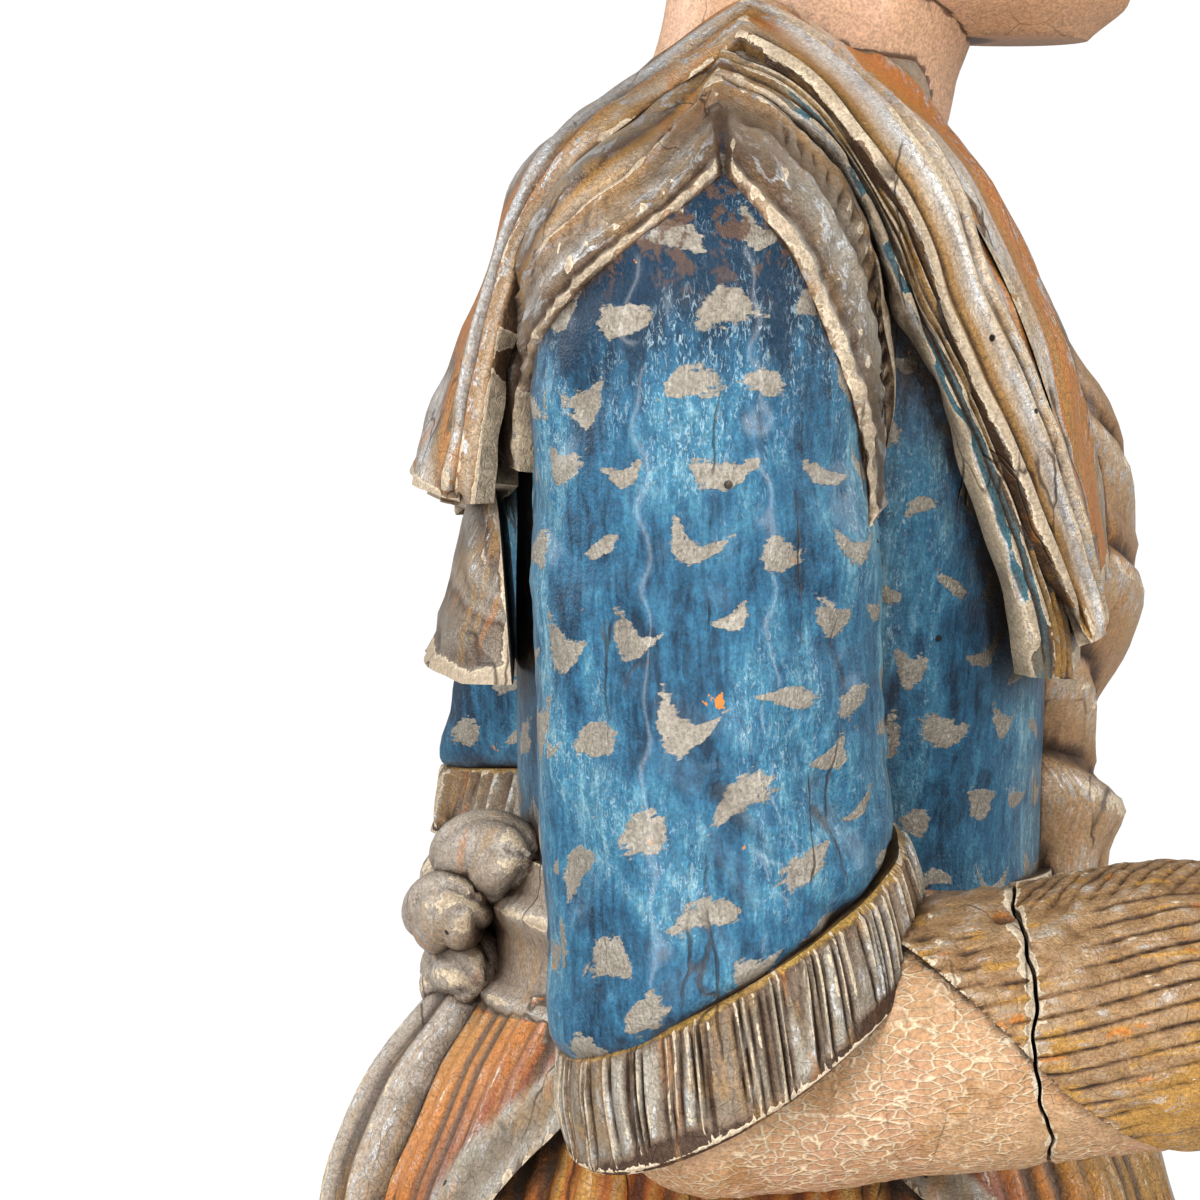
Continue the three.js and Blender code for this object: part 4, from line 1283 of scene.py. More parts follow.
def old_surface():
    """Worn paint: chips down to gesso and wood on high spots, grime and painted shade in hollows, fine
    cracks.
    """

    def build(n, given):
        spot = n.place()
        pointed = n.add("ShaderNodeNewGeometry").outputs["Pointiness"]
        shelter = n.add("ShaderNodeAmbientOcclusion", {"samples": 2}, Distance=SHELTER_REACH).outputs["AO"]
        patches = n.noise(spot, 95.0, 5.0, 0.68)
        fine = n.noise(spot, 420.0, 3.0, 0.6)
        grit = n.noise(spot, 1100.0, 2.0, 0.65)
        high = n.between(pointed, 0.505, 0.56)
        worn = n.math("ADD", n.math("MULTIPLY", high, 0.55), n.math("MULTIPLY", patches, 0.9))
        worn = n.math("ADD", worn, n.math("MULTIPLY", n.math("SUBTRACT", fine, 0.5), 0.35))
        start = n.math("SUBTRACT", 1.12, given["Chipping"])
        chipped = n.between(worn, start, n.math("ADD", start, 0.03))
        deep = n.between(worn, n.math("ADD", start, 0.1), n.math("ADD", start, 0.16))
        colour = n.mix(chipped, given["Paint"], given["Gesso"])
        colour = n.mix(n.math("MULTIPLY", deep, 0.35), colour, given["Wood"])
        # Grime and painted shade: hollows near other surfaces and sunk spots go mottled dark brown.
        hollow = n.math("SUBTRACT", 1.0, shelter)
        low = n.between(pointed, 0.495, 0.465)
        dirt_and_shade = n.math("ADD", n.math("MULTIPLY", hollow, 1.15), n.math("MULTIPLY", low, 0.35))
        mottled = n.between(n.noise(spot, 130.0, 2.0, 0.6), 0.25, 0.7, 0.45, 1.2)
        dirt_and_shade = n.math("MULTIPLY", n.math("MULTIPLY", dirt_and_shade, mottled), given["Grime"], clamp=True)
        colour = n.mix(dirt_and_shade, colour, given["DirtAndShade"])
        tint = n.math(
            "MULTIPLY", n.between(fine, 0.2, 0.8, 0.84, 1.12), n.between(grit, 0.3, 0.7, 0.74, 1.18)
        )
        colour = n.mix(
            1.0, colour, n.add("ShaderNodeCombineColor", Red=tint, Green=tint, Blue=tint).outputs[0],
            "MULTIPLY"
        )
        rough = n.math("ADD", given["Gloss Rough"], n.math("MULTIPLY", chipped, 0.2))
        rough = n.math("ADD", rough, n.math("MULTIPLY", dirt_and_shade, 0.25))
        rough = n.math("ADD", rough, n.math("MULTIPLY", n.math("SUBTRACT", fine, 0.5), 0.16), clamp=True)
        height = n.math("SUBTRACT", n.math("MULTIPLY", fine, 0.5), n.math("MULTIPLY", chipped, 0.6))
        height = n.math("ADD", height, n.math("MULTIPLY", grit, 0.8))
        return {"Color": colour, "Roughness": rough, "Height": height, "Chipped": chipped, "DirtAndShade": dirt_and_shade}

    return effect(
        "Old surface",
        [
            ("Paint", COLOUR, (0.5, 0.5, 0.5, 1)),
            ("Gesso", COLOUR, (0.75, 0.61, 0.43, 1)),
            ("Wood", COLOUR, (0.16, 0.085, 0.045, 1)),
            ("DirtAndShade", COLOUR, (*DARK_BROWN, 1)),
            ("Chipping", VALUE, 0.3),
            ("Grime", VALUE, 1.0),
            ("Gloss Rough", VALUE, 0.35),
        ],
        [("Color", COLOUR), ("Roughness", VALUE), ("Height", VALUE), ("Chipped", VALUE), ("DirtAndShade", VALUE)],
        build,
    )


def brushed_marks():
    """Staggered rows of short brushed marks, each a ragged crescent or fan of its own."""

    def build(n, given):
        parts = n.add("ShaderNodeSeparateXYZ", Vector=given["Flat"]).outputs
        row_at = n.math("DIVIDE", parts[1], given["Row Pitch"])
        row = n.math("FLOOR", row_at)
        stagger = n.math("MULTIPLY", n.math("PINGPONG", row, 1.0), 0.5)
        column_at = n.math("ADD", n.math("DIVIDE", parts[0], given["Column Pitch"]), stagger)
        column = n.math("FLOOR", column_at)
        cell = n.add("ShaderNodeCombineXYZ", X=column, Y=row).outputs[0]
        chance = n.add("ShaderNodeTexWhiteNoise", {"noise_dimensions": "3D"}, Vector=cell)
        dice = n.add("ShaderNodeSeparateColor", Color=chance.outputs["Color"]).outputs
        x = n.math("SUBTRACT", n.math("SUBTRACT", column_at, column), n.between(dice[0], 0, 1, 0.38, 0.62))
        y = n.math("SUBTRACT", n.math("SUBTRACT", row_at, row), n.between(dice[1], 0, 1, 0.36, 0.62))
        # Each mark is turned a little, and bent up or down at its ends.
        lean = n.between(dice[2], 0, 1, -0.55, 0.55)
        x_turned = n.math("ADD", x, n.math("MULTIPLY", y, n.math("MULTIPLY", lean, -0.8)))
        y_turned = n.math("ADD", y, n.math("MULTIPLY", x, n.math("MULTIPLY", lean, 1.0)))
        bend = n.between(n.math("FRACT", n.math("MULTIPLY", dice[0], 7.3)), 0, 1, -1.2, 3.2)
        y_bent = n.math("ADD", y_turned, n.math("MULTIPLY", n.math("MULTIPLY", x_turned, x_turned), bend))
        bristles = n.noise(n.stretched(given["Flat"], (0.35, 1.2, 1.0)), 620.0, 2.0, 0.6)
        ragged = n.noise(given["Flat"], 260.0, 3.0, 0.65)
        width = n.between(n.math("FRACT", n.math("MULTIPLY", dice[1], 5.1)), 0, 1, 0.24, 0.39)
        tall = n.between(n.math("FRACT", n.math("MULTIPLY", dice[2], 9.7)), 0, 1, 0.11, 0.25)
        # A crescent is thin at its ends, and a fan widens to one side.
        fan = n.math("ADD", 1.0, n.math("MULTIPLY", x_turned, n.between(dice[1], 0, 1, -1.6, 1.6)))
        across = n.math("DIVIDE", x_turned, width)
        high = n.math("DIVIDE", y_bent, n.math("MULTIPLY", tall, fan))
        reach = n.math(
            "SQRT", n.math("ADD", n.math("MULTIPLY", across, across), n.math("MULTIPLY", high, high))
        )
        reach = n.math("ADD", reach, n.math("MULTIPLY", n.math("SUBTRACT", ragged, 0.5), 1.1))
        reach = n.math("ADD", reach, n.math("MULTIPLY", n.math("SUBTRACT", bristles, 0.5), 0.9))
        mask = n.between(reach, 1.0, 0.86)
        rubbed_and_sheen = n.between(n.noise(given["Flat"], 700.0, 4.0, 0.7), 0.3, 0.38)
        return {"Mask": n.math("MULTIPLY", mask, rubbed_and_sheen)}

    return effect(
        "Brushed marks",
        [("Flat", VECTOR, None), ("Column Pitch", VALUE, 0.025), ("Row Pitch", VALUE, 0.0205)],
        [("Mask", VALUE)],
        build,
    )


def crackle():
    """A net of fine raised or sunk cracks, and long splits along the grain of the wood."""

    def build(n, given):
        spot = n.place()
        swirl = n.add("ShaderNodeTexNoise", Vector=spot, Scale=90.0).outputs["Color"]
        bent = n.vector("ADD", spot, n.stretched(swirl, (0.004, 0.004, 0.004)))
        net = n.cells(n.stretched(bent, given["Net Stretch"]), given["Net Scale"], "DISTANCE_TO_EDGE")
        lines = n.between(net, 0.0, given["Net Width"], 1.0, 0.0)
        grain = n.stretched(bent, (1.0, 1.0, 0.09))
        splits = n.cells(grain, 46.0, "DISTANCE_TO_EDGE")
        some = n.between(n.noise(spot, 26.0, 2.0), 0.52, 0.62)
        long_lines = n.math("MULTIPLY", n.between(splits, 0.0, 0.02, 1.0, 0.0), some)
        holes = n.between(n.cells(spot, 62.0), 0.075, 0.055)
        rare = n.between(n.noise(spot, 33.0, 1.0), 0.52, 0.58)
        return {"Net": lines, "Splits": long_lines, "Holes": n.math("MULTIPLY", holes, rare)}

    return effect(
        "Crackle",
        [("Net Scale", VALUE, 300.0), ("Net Width", VALUE, 0.06), ("Net Stretch", VECTOR, (1.0, 1.0, 1.0))],
        [("Net", VALUE), ("Splits", VALUE), ("Holes", VALUE)],
        build,
    )


def painted(name, build):
    """A material whose build gives its colour, roughness, metal and height, and plain settings."""
    material = bpy.data.materials.new(name)
    material.use_nodes = True
    n = Nodes(material.node_tree)
    found = build(n)
    shader = n.add("ShaderNodeBsdfPrincipled")
    n.feed(shader.inputs["Base Color"], found["colour"])
    n.feed(shader.inputs["Roughness"], found["rough"])
    n.feed(shader.inputs["Metallic"], found.get("metal", 0.0))
    bump_node = n.add("ShaderNodeBump", Height=found["height"], Strength=found.get("strength", 0.5))
    bump_node.inputs["Distance"].default_value = found.get("relief", RELIEF)
    n.feed(shader.inputs["Normal"], bump_node.outputs[0])
    shader.inputs["Specular IOR Level"].default_value = SPECULAR
    shader.inputs["Coat Weight"].default_value = found.get("varnish", VARNISH)
    shader.inputs["Coat Roughness"].default_value = found.get("varnish_rough", VARNISH_ROUGHNESS)
    output = n.add("ShaderNodeOutputMaterial")
    material.node_tree.links.new(shader.outputs[0], output.inputs[0])
    return material


def cloth_paint(colours, name="painted_cloth", hem=False):
    """Blue cloth with silver marks, navy in hollows, painted shade and grime in navy and brown under the
    shoulder, and a rubbed sheen that is partly painted.
    """

    def build(n):
        spot = n.place()
        flat = n.add("ShaderNodeUVMap", {"uv_map": "Cloth"}).outputs[0]
        streaks = n.noise(n.stretched(spot, (1.0, 1.0, 0.2)), 330.0, 3.0, 0.65, 0.6)
        broad = n.noise(n.stretched(spot, (1.0, 1.0, 0.45)), 30.0, 3.0, 0.6, 0.7)
        mottle = n.noise(spot, 150.0, 3.0, 0.65, 0.3)
        tone = n.math("ADD", n.math("MULTIPLY", broad, 1.35), n.math("MULTIPLY", streaks, 0.85))
        tone = n.math("ADD", tone, n.math("MULTIPLY", mottle, 0.5))
        height_at = n.add("ShaderNodeSeparateXYZ", Vector=spot).outputs[2]
        shoulder = n.between(height_at, SHOULDER_SHADE[0], SHOULDER_SHADE[1], 0.0, 0.8)
        tone = n.math("SUBTRACT", tone, shoulder)
        blue = n.ramp(
            n.math("SUBTRACT", tone, 0.90),
            [
                (0.14, colours.deep_blue), (0.4, colours.blue), (0.58, colours.pale_blue),
                (0.78, (0.22, 0.42, 0.50)),
            ],
        )
        # Lighter silver-blue streaks where the blue is rubbed, with some metal, partly a painted sheen.
        scuffs_and_sheen = n.noise(n.stretched(spot, (1.0, 1.4, 0.5)), 640.0, 3.0, 0.75, 1.2)
        rubbed_and_sheen = n.between(scuffs_and_sheen, 0.53, 0.62)
        rubbed_and_sheen = n.math("MULTIPLY", rubbed_and_sheen, n.between(broad, 0.45, 0.6))
        blue = n.mix(n.math("MULTIPLY", rubbed_and_sheen, 0.62), blue, (0.40, 0.55, 0.62))
        cracks = use(n, crackle(), Net_Scale=420.0, Net_Width=0.035)
        mark = use(n, brushed_marks(), Flat=flat)["Mask"]
        silver = n.mix(n.between(mottle, 0.3, 0.6, 0.0, 0.45), colours.silver, colours.taupe)
        paint = n.mix(n.math("MULTIPLY", mark, 0.94), blue, silver)
        if hem:
            gilt = n.mix(n.between(mottle, 0.35, 0.6), colours.taupe, colours.gold)
            paint = n.mix(n.between(n.attribute("edge"), 0.0655, 0.0640), paint, gilt)
        old = use(n, old_surface(), Paint=paint, Chipping=0.13, Grime=1.3, Gloss_Rough=0.32)
        rust = n.between(n.noise(spot, 52.0, 5.0, 0.75), 0.675, 0.69)
        colour = n.mix(rust, old["Color"], colours.orange)
        # Grime and painted shade: mottled dark brown under the shoulder, towards the top of the sleeve.
        grime_and_shade = n.math("MULTIPLY", n.between(mottle, 0.52, 0.6), n.between(shoulder, 0.45, 0.7, 0.0, 0.85))
        colour = n.mix(grime_and_shade, colour, (0.12, 0.065, 0.04))
        colour = n.mix(n.math("MULTIPLY", cracks["Splits"], 0.75), colour, DARK_BROWN)
        colour = n.mix(cracks["Holes"], colour, (0.012, 0.008, 0.006))
        height = n.math("ADD", old["Height"], n.math("MULTIPLY", streaks, 0.9))
        height = n.math("ADD", height, n.math("MULTIPLY", scuffs_and_sheen, 0.7))
        height = n.math("SUBTRACT", height, n.math("MULTIPLY", cracks["Splits"], 1.2))
        height = n.math("SUBTRACT", height, n.math("MULTIPLY", cracks["Holes"], 2.0))
        metal = n.math("ADD", n.math("MULTIPLY", rubbed_and_sheen, 0.45), n.math("MULTIPLY", mark, 0.4))
        height = n.math("ADD", height, n.math("MULTIPLY", mark, 0.3))
        return {
            "colour": colour, "rough": old["Roughness"], "metal": metal, "height": height,
            "strength": 0.9, "varnish": 0.2, "varnish_rough": 0.15,
        }

    return painted(name, build)


def silvered(
    name, colours, stops, chipping=0.36, metal=0.45, rough=0.34, by_edge=0.0, gilt=0.5, strength=0.8,
    seam=False,
    shine=0.7, front=None, behind=1.0, grime_and_shade=1.35,
):
    """Silvered or gilded carving: dark in its hollows and bright on its ridges, the brightest spots partly
    painted highlights. With by_edge the colour follows the distance from the carved edge, over that many
    metres, and front holds the colours for the front of the figure where they differ. Those at the back are
    darkened by behind, as painted shade."""

    def build(n):
        spot = n.place()
        flat = n.add("ShaderNodeUVMap", {"uv_map": "Cloth"}).outputs[0]
        ridge = n.attribute("ridge")
        streak = n.noise(n.stretched(flat, (1.0, 0.13, 1.0)), 330.0, 4.0, 0.7, 0.5)
        patch = n.noise(n.stretched(flat, (1.0, 0.4, 1.0)), 60.0, 3.0, 0.65, 0.5)
        grain = n.noise(spot, 700.0, 3.0, 0.7, 0.4)
        wander = n.math(
            "ADD", n.math("SUBTRACT", patch, 0.5), n.math("MULTIPLY", n.math("SUBTRACT", streak, 0.5), 0.9)
        )
        if seam:
            line = n.between(
                n.math("ADD", n.attribute("edge"), n.math("MULTIPLY", wander, 0.003)), 0.0019, 0.0008
            )
        if by_edge:
            edge = n.math("DIVIDE", n.attribute("edge"), by_edge)
            at = n.math("ADD", edge, n.math("MULTIPLY", wander, 0.09))
            colour = n.ramp(at, stops)
            # Painted shade: behind the figure's middle the colours are mixed towards dark brown, by one
            # less behind.
            before = n.between(n.add("ShaderNodeSeparateXYZ", Vector=spot).outputs[1], 0.008, -0.002)
            colour = n.mix(n.between(before, 1.0, 0.0, 0.0, 1.0 - behind), colour, (0.13, 0.055, 0.02))
            if front:
                colour = n.mix(before, colour, n.ramp(at, front))
            shade = n.between(n.math("ADD", ridge, n.math("MULTIPLY", wander, 0.5)), 0.1, 0.55, 0.85, 0.0)
            colour = n.mix(shade, colour, (0.10, 0.055, 0.03))
        else:
            colour = n.ramp(n.math("ADD", ridge, n.math("MULTIPLY", wander, 0.75)), stops)
        if seam:
            colour = n.mix(n.math("MULTIPLY", line, 0.85), colour, colours.ochre)
        tinge = n.math(
            "ADD", n.math("MULTIPLY", streak, 0.55),
            n.math("MULTIPLY", n.noise(spot, 33.0, 3.0, 0.65, 0.4), 0.6)
        )
        colour = n.mix(n.between(tinge, 0.59, 0.66, 0.0, gilt), colour, colours.gold)
        rusty = n.between(n.noise(n.stretched(flat, (1.0, 0.3, 1.0)), 95.0, 3.0, 0.7, 0.3), 0.6, 0.66)
        colour = n.mix(n.math("MULTIPLY", rusty, gilt), colour, colours.orange)
        # Near-white silver on the ridge tops, with more metal: brighter silver leaf, partly painted
        # highlights.
        bright = n.between(n.noise(n.stretched(flat, (1.0, 0.3, 1.0)), 420.0, 3.0, 0.75, 0.5), 0.52, 0.6)
        bright = n.math("MULTIPLY", bright, n.between(ridge, 0.45, 0.85))
        colour = n.mix(n.math("MULTIPLY", bright, shine), colour, (0.68, 0.69, 0.70))
        old = use(n, old_surface(), Paint=colour, Chipping=chipping, Grime=grime_and_shade, Gloss_Rough=rough)
        cracks = use(n, crackle(), Net_Scale=260.0, Net_Width=0.045)
        final = n.mix(n.math("MULTIPLY", cracks["Splits"], 0.85), old["Color"], DARK_BROWN)
        final = n.mix(cracks["Holes"], final, (0.012, 0.008, 0.006))
        sound = n.math(
            "MULTIPLY", n.math("SUBTRACT", 1.0, old["Chipped"]), n.math("SUBTRACT", 1.0, old["DirtAndShade"])
        )
        metallic = n.math("MULTIPLY", sound, n.math("ADD", metal * 0.6, n.math("MULTIPLY", bright, 0.4)))
        height = n.math("ADD", old["Height"], n.math("MULTIPLY", streak, 0.8))
        height = n.math("ADD", height, n.math("MULTIPLY", grain, 0.8))
        height = n.math("SUBTRACT", height, n.math("MULTIPLY", cracks["Splits"], 1.2))
        height = n.math("SUBTRACT", height, n.math("MULTIPLY", cracks["Net"], 0.3))
        return {
            "colour": final, "rough": old["Roughness"], "metal": metallic, "height": height,
            "strength": strength, "varnish": 0.1,
        }

    return painted(name, build)


def flesh(name, colours, crackled):
    def build(n):
        spot = n.place()
        broad = n.noise(spot, 30.0, 5.0, 0.6, 0.3)
        colour = n.ramp(broad, [(0.32, colours.tan), (0.5, colours.flesh), (0.68, colours.pink)])
        scale, width, along = (480.0, 0.15, 0.4) if crackled else (120.0, 0.02, 1.0)
        cracks = use(n, crackle(), Net_Scale=scale, Net_Width=width, Net_Stretch=(1.0, along, 1.0))
        edge = n.attribute("edge")
        if crackled:
            flaked = n.between(n.noise(spot, 30.0, 5.0, 0.65), 0.36, 0.54)
            cream = n.math("MULTIPLY", cracks["Net"], flaked)
            colour = n.mix(n.math("MULTIPLY", cream, 0.9), colour, (0.86, 0.68, 0.45))
            colour = n.mix(
                n.math("MULTIPLY", n.math("SUBTRACT", flaked, cream, clamp=True), 0.5), colour,
                (0.46, 0.24, 0.09)
            )
            colour = n.mix(
                n.between(n.noise(spot, 44.0, 5.0, 0.7), 0.54, 0.64, 0.0, 0.6), colour, (0.40, 0.19, 0.06)
            )
            height = n.math("MULTIPLY", cream, 2.2)
        else:
            # Painted shade: the front of the face and jaw is mixed towards a darker brown.
            front = n.between(
                n.add("ShaderNodeSeparateXYZ", Vector=spot).outputs[1], -0.034, -0.07, 0.0, 0.6
            )
            colour = n.mix(front, n.mix(0.45, colour, (0.92, 0.55, 0.36)), (0.37, 0.175, 0.07))
            features = (
                (1, 0.55, (0.36, 0.075, 0.045)), (2, 0.8, DARK_BROWN), (3, 0.85, (0.60, 0.52, 0.42)),
                (4, 0.9, DARK_BROWN)
            )
            for number, share, tone in features:
                near = n.math("ABSOLUTE", n.math("SUBTRACT", edge, number * 0.001))
                colour = n.mix(n.math("MULTIPLY", n.between(near, 0.0004, 0.0001), share), colour, tone)
            colour = n.mix(
                n.between(n.attribute("ridge"), 0.42, 0.15, 0.0, 0.85), colour, (0.10, 0.045, 0.025)
            )
            height = n.math("MULTIPLY", cracks["Net"], -0.3)
        old = use(
            n, old_surface(), Paint=colour, Chipping=0.18 if crackled else 0.05,
            Grime=0.85 if crackled else 0.55, Gloss_Rough=0.4
        )
        final = n.mix(n.math("MULTIPLY", cracks["Splits"], 0.5), old["Color"], DARK_BROWN)
        height = n.math("ADD", height, old["Height"])
        return {
            "colour": final, "rough": old["Roughness"], "height": height, "strength": 0.6, "varnish": 0.12
        }

    return painted(name, build)


def dark_hair(name, colours):
    def build(n):
        ridge = n.attribute("ridge")
        colour = n.ramp(ridge, [(0.1, (0.008, 0.006, 0.005)), (0.9, (0.06, 0.04, 0.03))])
        old = use(
            n, old_surface(), Paint=colour, Chipping=0.34, Grime=0.9, Gloss_Rough=0.42,
            Gesso=(0.35, 0.25, 0.16, 1)
        )
        return {"colour": old["Color"], "rough": old["Roughness"], "height": old["Height"]}

    return painted(name, build)


def stained_wood(name, colours):
    def build(n):
        spot = n.place()
        grain = n.noise(n.stretched(spot, (0.08, 1.0, 1.0)), 160.0, 5.0, 0.6, 0.6)
        colour = n.ramp(grain, [(0.3, (0.045, 0.022, 0.012)), (0.7, (0.17, 0.085, 0.045))])
        old = use(
            n, old_surface(), Paint=colour, Chipping=0.26, Grime=0.9, Gloss_Rough=0.46,
            Gesso=(0.30, 0.19, 0.11, 1)
        )
        height = n.math("ADD", old["Height"], n.math("MULTIPLY", grain, 1.2))
        return {"colour": old["Color"], "rough": old["Roughness"], "height": height, "varnish": 0.15}

    return painted(name, build)


DARK_GROOVE = (0.10, 0.055, 0.03)
PALE_SILVER = (0.72, 0.70, 0.67)
BAND_WIDTH = 0.040

PAINTS = {
    "cloth": lambda c: cloth_paint(c),
    "robe": lambda c: cloth_paint(c, "painted_robe", hem=True),
    "upper": lambda c: silvered(
        "upper_collar", c,
        [
            (0.0, DARK_GROOVE), (0.03, c.tan), (0.07, c.cream), (0.14, c.tan), (0.17, c.orange),
            (0.23, c.orange), (0.27, c.taupe), (0.32, PALE_SILVER), (0.36, c.silver), (0.42, c.tan),
            (0.47, c.orange), (0.53, c.gold), (0.57, c.taupe), (0.68, c.silver), (0.8, c.taupe),
            (0.9, c.tan), (1.0, c.silver),
        ],
        by_edge=BAND_WIDTH, gilt=0.4, shine=0.85, grime_and_shade=0.85,
        front=[
            (0.0, DARK_GROOVE), (0.03, c.tan), (0.08, c.gold), (0.13, (0.40, 0.22, 0.08)), (0.17, c.cream),
            (0.25, PALE_SILVER), (0.33, c.cream), (0.39, PALE_SILVER), (0.43, c.orange), (0.5, c.gold),
            (0.56, c.orange), (0.86, c.orange), (0.92, c.tan), (0.96, c.taupe), (1.0, c.silver),
        ],
        behind=0.72,
    ),
    "lower": lambda c: silvered(
        "lower_collar", c,
        [
            (0.0, c.cream), (0.07, c.cream), (0.12, c.gold), (0.16, DARK_GROOVE), (0.21, c.taupe),
            (0.3, c.silver), (0.4, c.taupe), (0.47, c.silver), (0.52, DARK_GROOVE), (0.56, c.taupe),
            (1.0, c.silver),
        ],
        by_edge=BAND_WIDTH, gilt=0.4, grime_and_shade=1.0,
        front=[
            (0.0, c.cream), (0.03, PALE_SILVER), (0.045, (0.04, 0.14, 0.18)), (0.18, (0.09, 0.25, 0.30)),
            (0.2, DARK_GROOVE), (0.24, (0.44, 0.27, 0.10)), (0.32, c.gold), (0.4, (0.34, 0.20, 0.09)),
            (0.46, c.tan), (0.52, DARK_GROOVE), (0.56, c.taupe), (1.0, c.silver),
        ],
        behind=0.75,
    ),
    "trim": lambda c: silvered(
        "armhole_band", c,
        [
            (0.0, (0.30, 0.19, 0.11)), (0.03, c.cream), (0.06, c.silver), (0.1, (0.14, 0.085, 0.05)),
            (0.14, c.taupe), (0.25, c.silver), (0.31, c.taupe), (0.38, (0.34, 0.24, 0.15)), (0.44, c.tan),
            (0.475, c.cream), (0.5, c.gold),
        ],
        by_edge=BAND_WIDTH, gilt=0.22, metal=0.35, behind=0.66,
    ),
    "cuff": lambda c: silvered(
        "silvered_cuff", c,
        [(0.1, (0.075, 0.04, 0.024)), (0.34, (0.22, 0.15, 0.10)), (0.6, c.taupe), (0.95, c.silver)],
        gilt=0.3, seam=True,
    ),
    "silver": lambda c: silvered(
        "silvered_sash", c,
        [(0.05, (0.12, 0.08, 0.05)), (0.35, (0.36, 0.28, 0.21)), (0.95, (0.54, 0.47, 0.39))], gilt=0.35,
        metal=0.25
    ),
    "mantle": lambda c: silvered(
        "gilded_mantle", c,
        [(0.02, (0.12, 0.055, 0.025)), (0.3, (0.40, 0.22, 0.10)), (0.6, c.tan), (1.0, (0.58, 0.42, 0.27))],
        metal=0.15, gilt=0.3, strength=0.4,
    ),
    "pleats": lambda c: silvered(
        "gilded_pleats", c,
        [
            (0.05, (0.16, 0.04, 0.012)), (0.4, (0.42, 0.12, 0.022)), (0.75, (0.46, 0.21, 0.035)),
            (1.0, (0.55, 0.30, 0.08)),
        ],
        chipping=0.22, metal=0.05, gilt=0.5, shine=0.15,
    ),
    "apron": lambda c: silvered(
        "gilded_apron", c,
        [
            (0.0, c.silver), (0.15, c.taupe), (0.24, c.taupe), (0.3, c.silver), (0.36, (0.30, 0.09, 0.04)),
            (0.6, c.orange), (1.0, c.gold),
        ],
        metal=0.25, by_edge=0.04, gilt=0.3, shine=0.35,
    ),
    "bracer": lambda c: silvered(
        "gilded_bracer", c,
        [
            (0.1, (0.11, 0.05, 0.02)), (0.36, (0.30, 0.165, 0.07)), (0.6, (0.40, 0.245, 0.12)),
            (0.95, c.silver),
        ],
        metal=0.3, gilt=0.9,
    ),
    "arm": lambda c: flesh("cracked_flesh", c, True),
    "face": lambda c: flesh("painted_flesh", c, False),
    "hair": lambda c: dark_hair("painted_hair", c),
    "wood": lambda c: stained_wood("stained_wood", c),
}
SHOULDER_SHADE = (SOLES + 0.705, SOLES + 0.785)


def paints_of(context):
    """Every paint, made once, in the order that the skins count them in."""
    made = context.scene.get("statue_paints")
    if made:
        return [bpy.data.materials[name] for name in made]
    materials = [make(context.scene.statue_colours) for make in PAINTS.values()]
    context.scene["statue_paints"] = [m.name for m in materials]
    return materials


def united(name, skins, paints):
    """All skins as one block."""
    piece = None
    for number, skin in enumerate(skins):
        part = skin if isinstance(skin, bpy.types.Object) else as_object(f"{name}_{number}", skin, paints)
        piece = combine(piece, part, "UNION") if piece else part
    return piece


def finished(piece, name, node, crease=42.0):
    """Creases stay sharp, unused paints go, and the piece takes its node's place."""
    mesh = piece.data
    piece.name = mesh.name = name
    mesh.polygons.foreach_set("use_smooth", np.ones(len(mesh.polygons), bool))
    mesh.set_sharp_from_angle(angle=math.radians(crease))
    used = np.zeros(len(mesh.polygons), np.int32)
    mesh.polygons.foreach_get("material_index", used)
    keep = sorted(set(used.tolist()))
    materials = [mesh.materials[k] for k in keep]
    mesh.materials.clear()
    for material in materials:
        mesh.materials.append(material)
    mesh.polygons.foreach_set("material_index", np.array([keep.index(k) for k in used], np.int32))
    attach(piece, "root")
    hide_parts(node)
    return piece


def paint_colour(name, description, default):
    return FloatVectorProperty(name=name, description=description, subtype="COLOR", size=3, default=default)


class StatueColours(bpy.types.PropertyGroup):
    blue: paint_colour("Blue", "Cloth paint", (0.022, 0.122, 0.225))
    deep_blue: paint_colour("Deep blue", "Cloth paint in hollows", (0.003, 0.030, 0.066))
    pale_blue: paint_colour("Pale blue", "Cloth paint where it is thin", (0.050, 0.205, 0.315))
    silver: paint_colour("Silver", "Silvered ridges and marks", (0.42, 0.375, 0.305))
    taupe: paint_colour("Tarnished silver", "Silver between ridges", (0.235, 0.185, 0.13))
    cream: paint_colour("Cream", "Bare gesso", (0.68, 0.52, 0.36))
    gold: paint_colour("Gold", "Worn gilding", (0.50, 0.26, 0.055))
    ochre: paint_colour("Ochre", "Line along seams", (0.50, 0.30, 0.07))
    orange: paint_colour("Orange", "Orange ground", (0.62, 0.22, 0.035))
    tan: paint_colour("Tan", "Aged flat paint", (0.48, 0.29, 0.14))
    flesh: paint_colour("Flesh", "Skin paint", (0.62, 0.37, 0.21))
    pink: paint_colour("Pink", "Rosy skin paint", (0.64, 0.37, 0.27))


class StatueCarving(bpy.types.PropertyGroup):
    cuff_pleats: IntProperty(
        name="Cuff pleats", description="Ridges round the right cuff", default=98, min=20, max=160
    )
    moulding_inset: FloatProperty(
        name="Moulding inset", description="Depth of the plinth's hollow", subtype="DISTANCE",
        default=0.009, min=0.0
    )
    floor_size: FloatProperty(
        name="Floor", description="Width of the floor", subtype="DISTANCE", default=8.0, min=2.0
    )
    camera_distance: FloatProperty(
        name="Camera distance", description="From the figure's middle", subtype="DISTANCE", default=1.6,
        min=0.5
    )


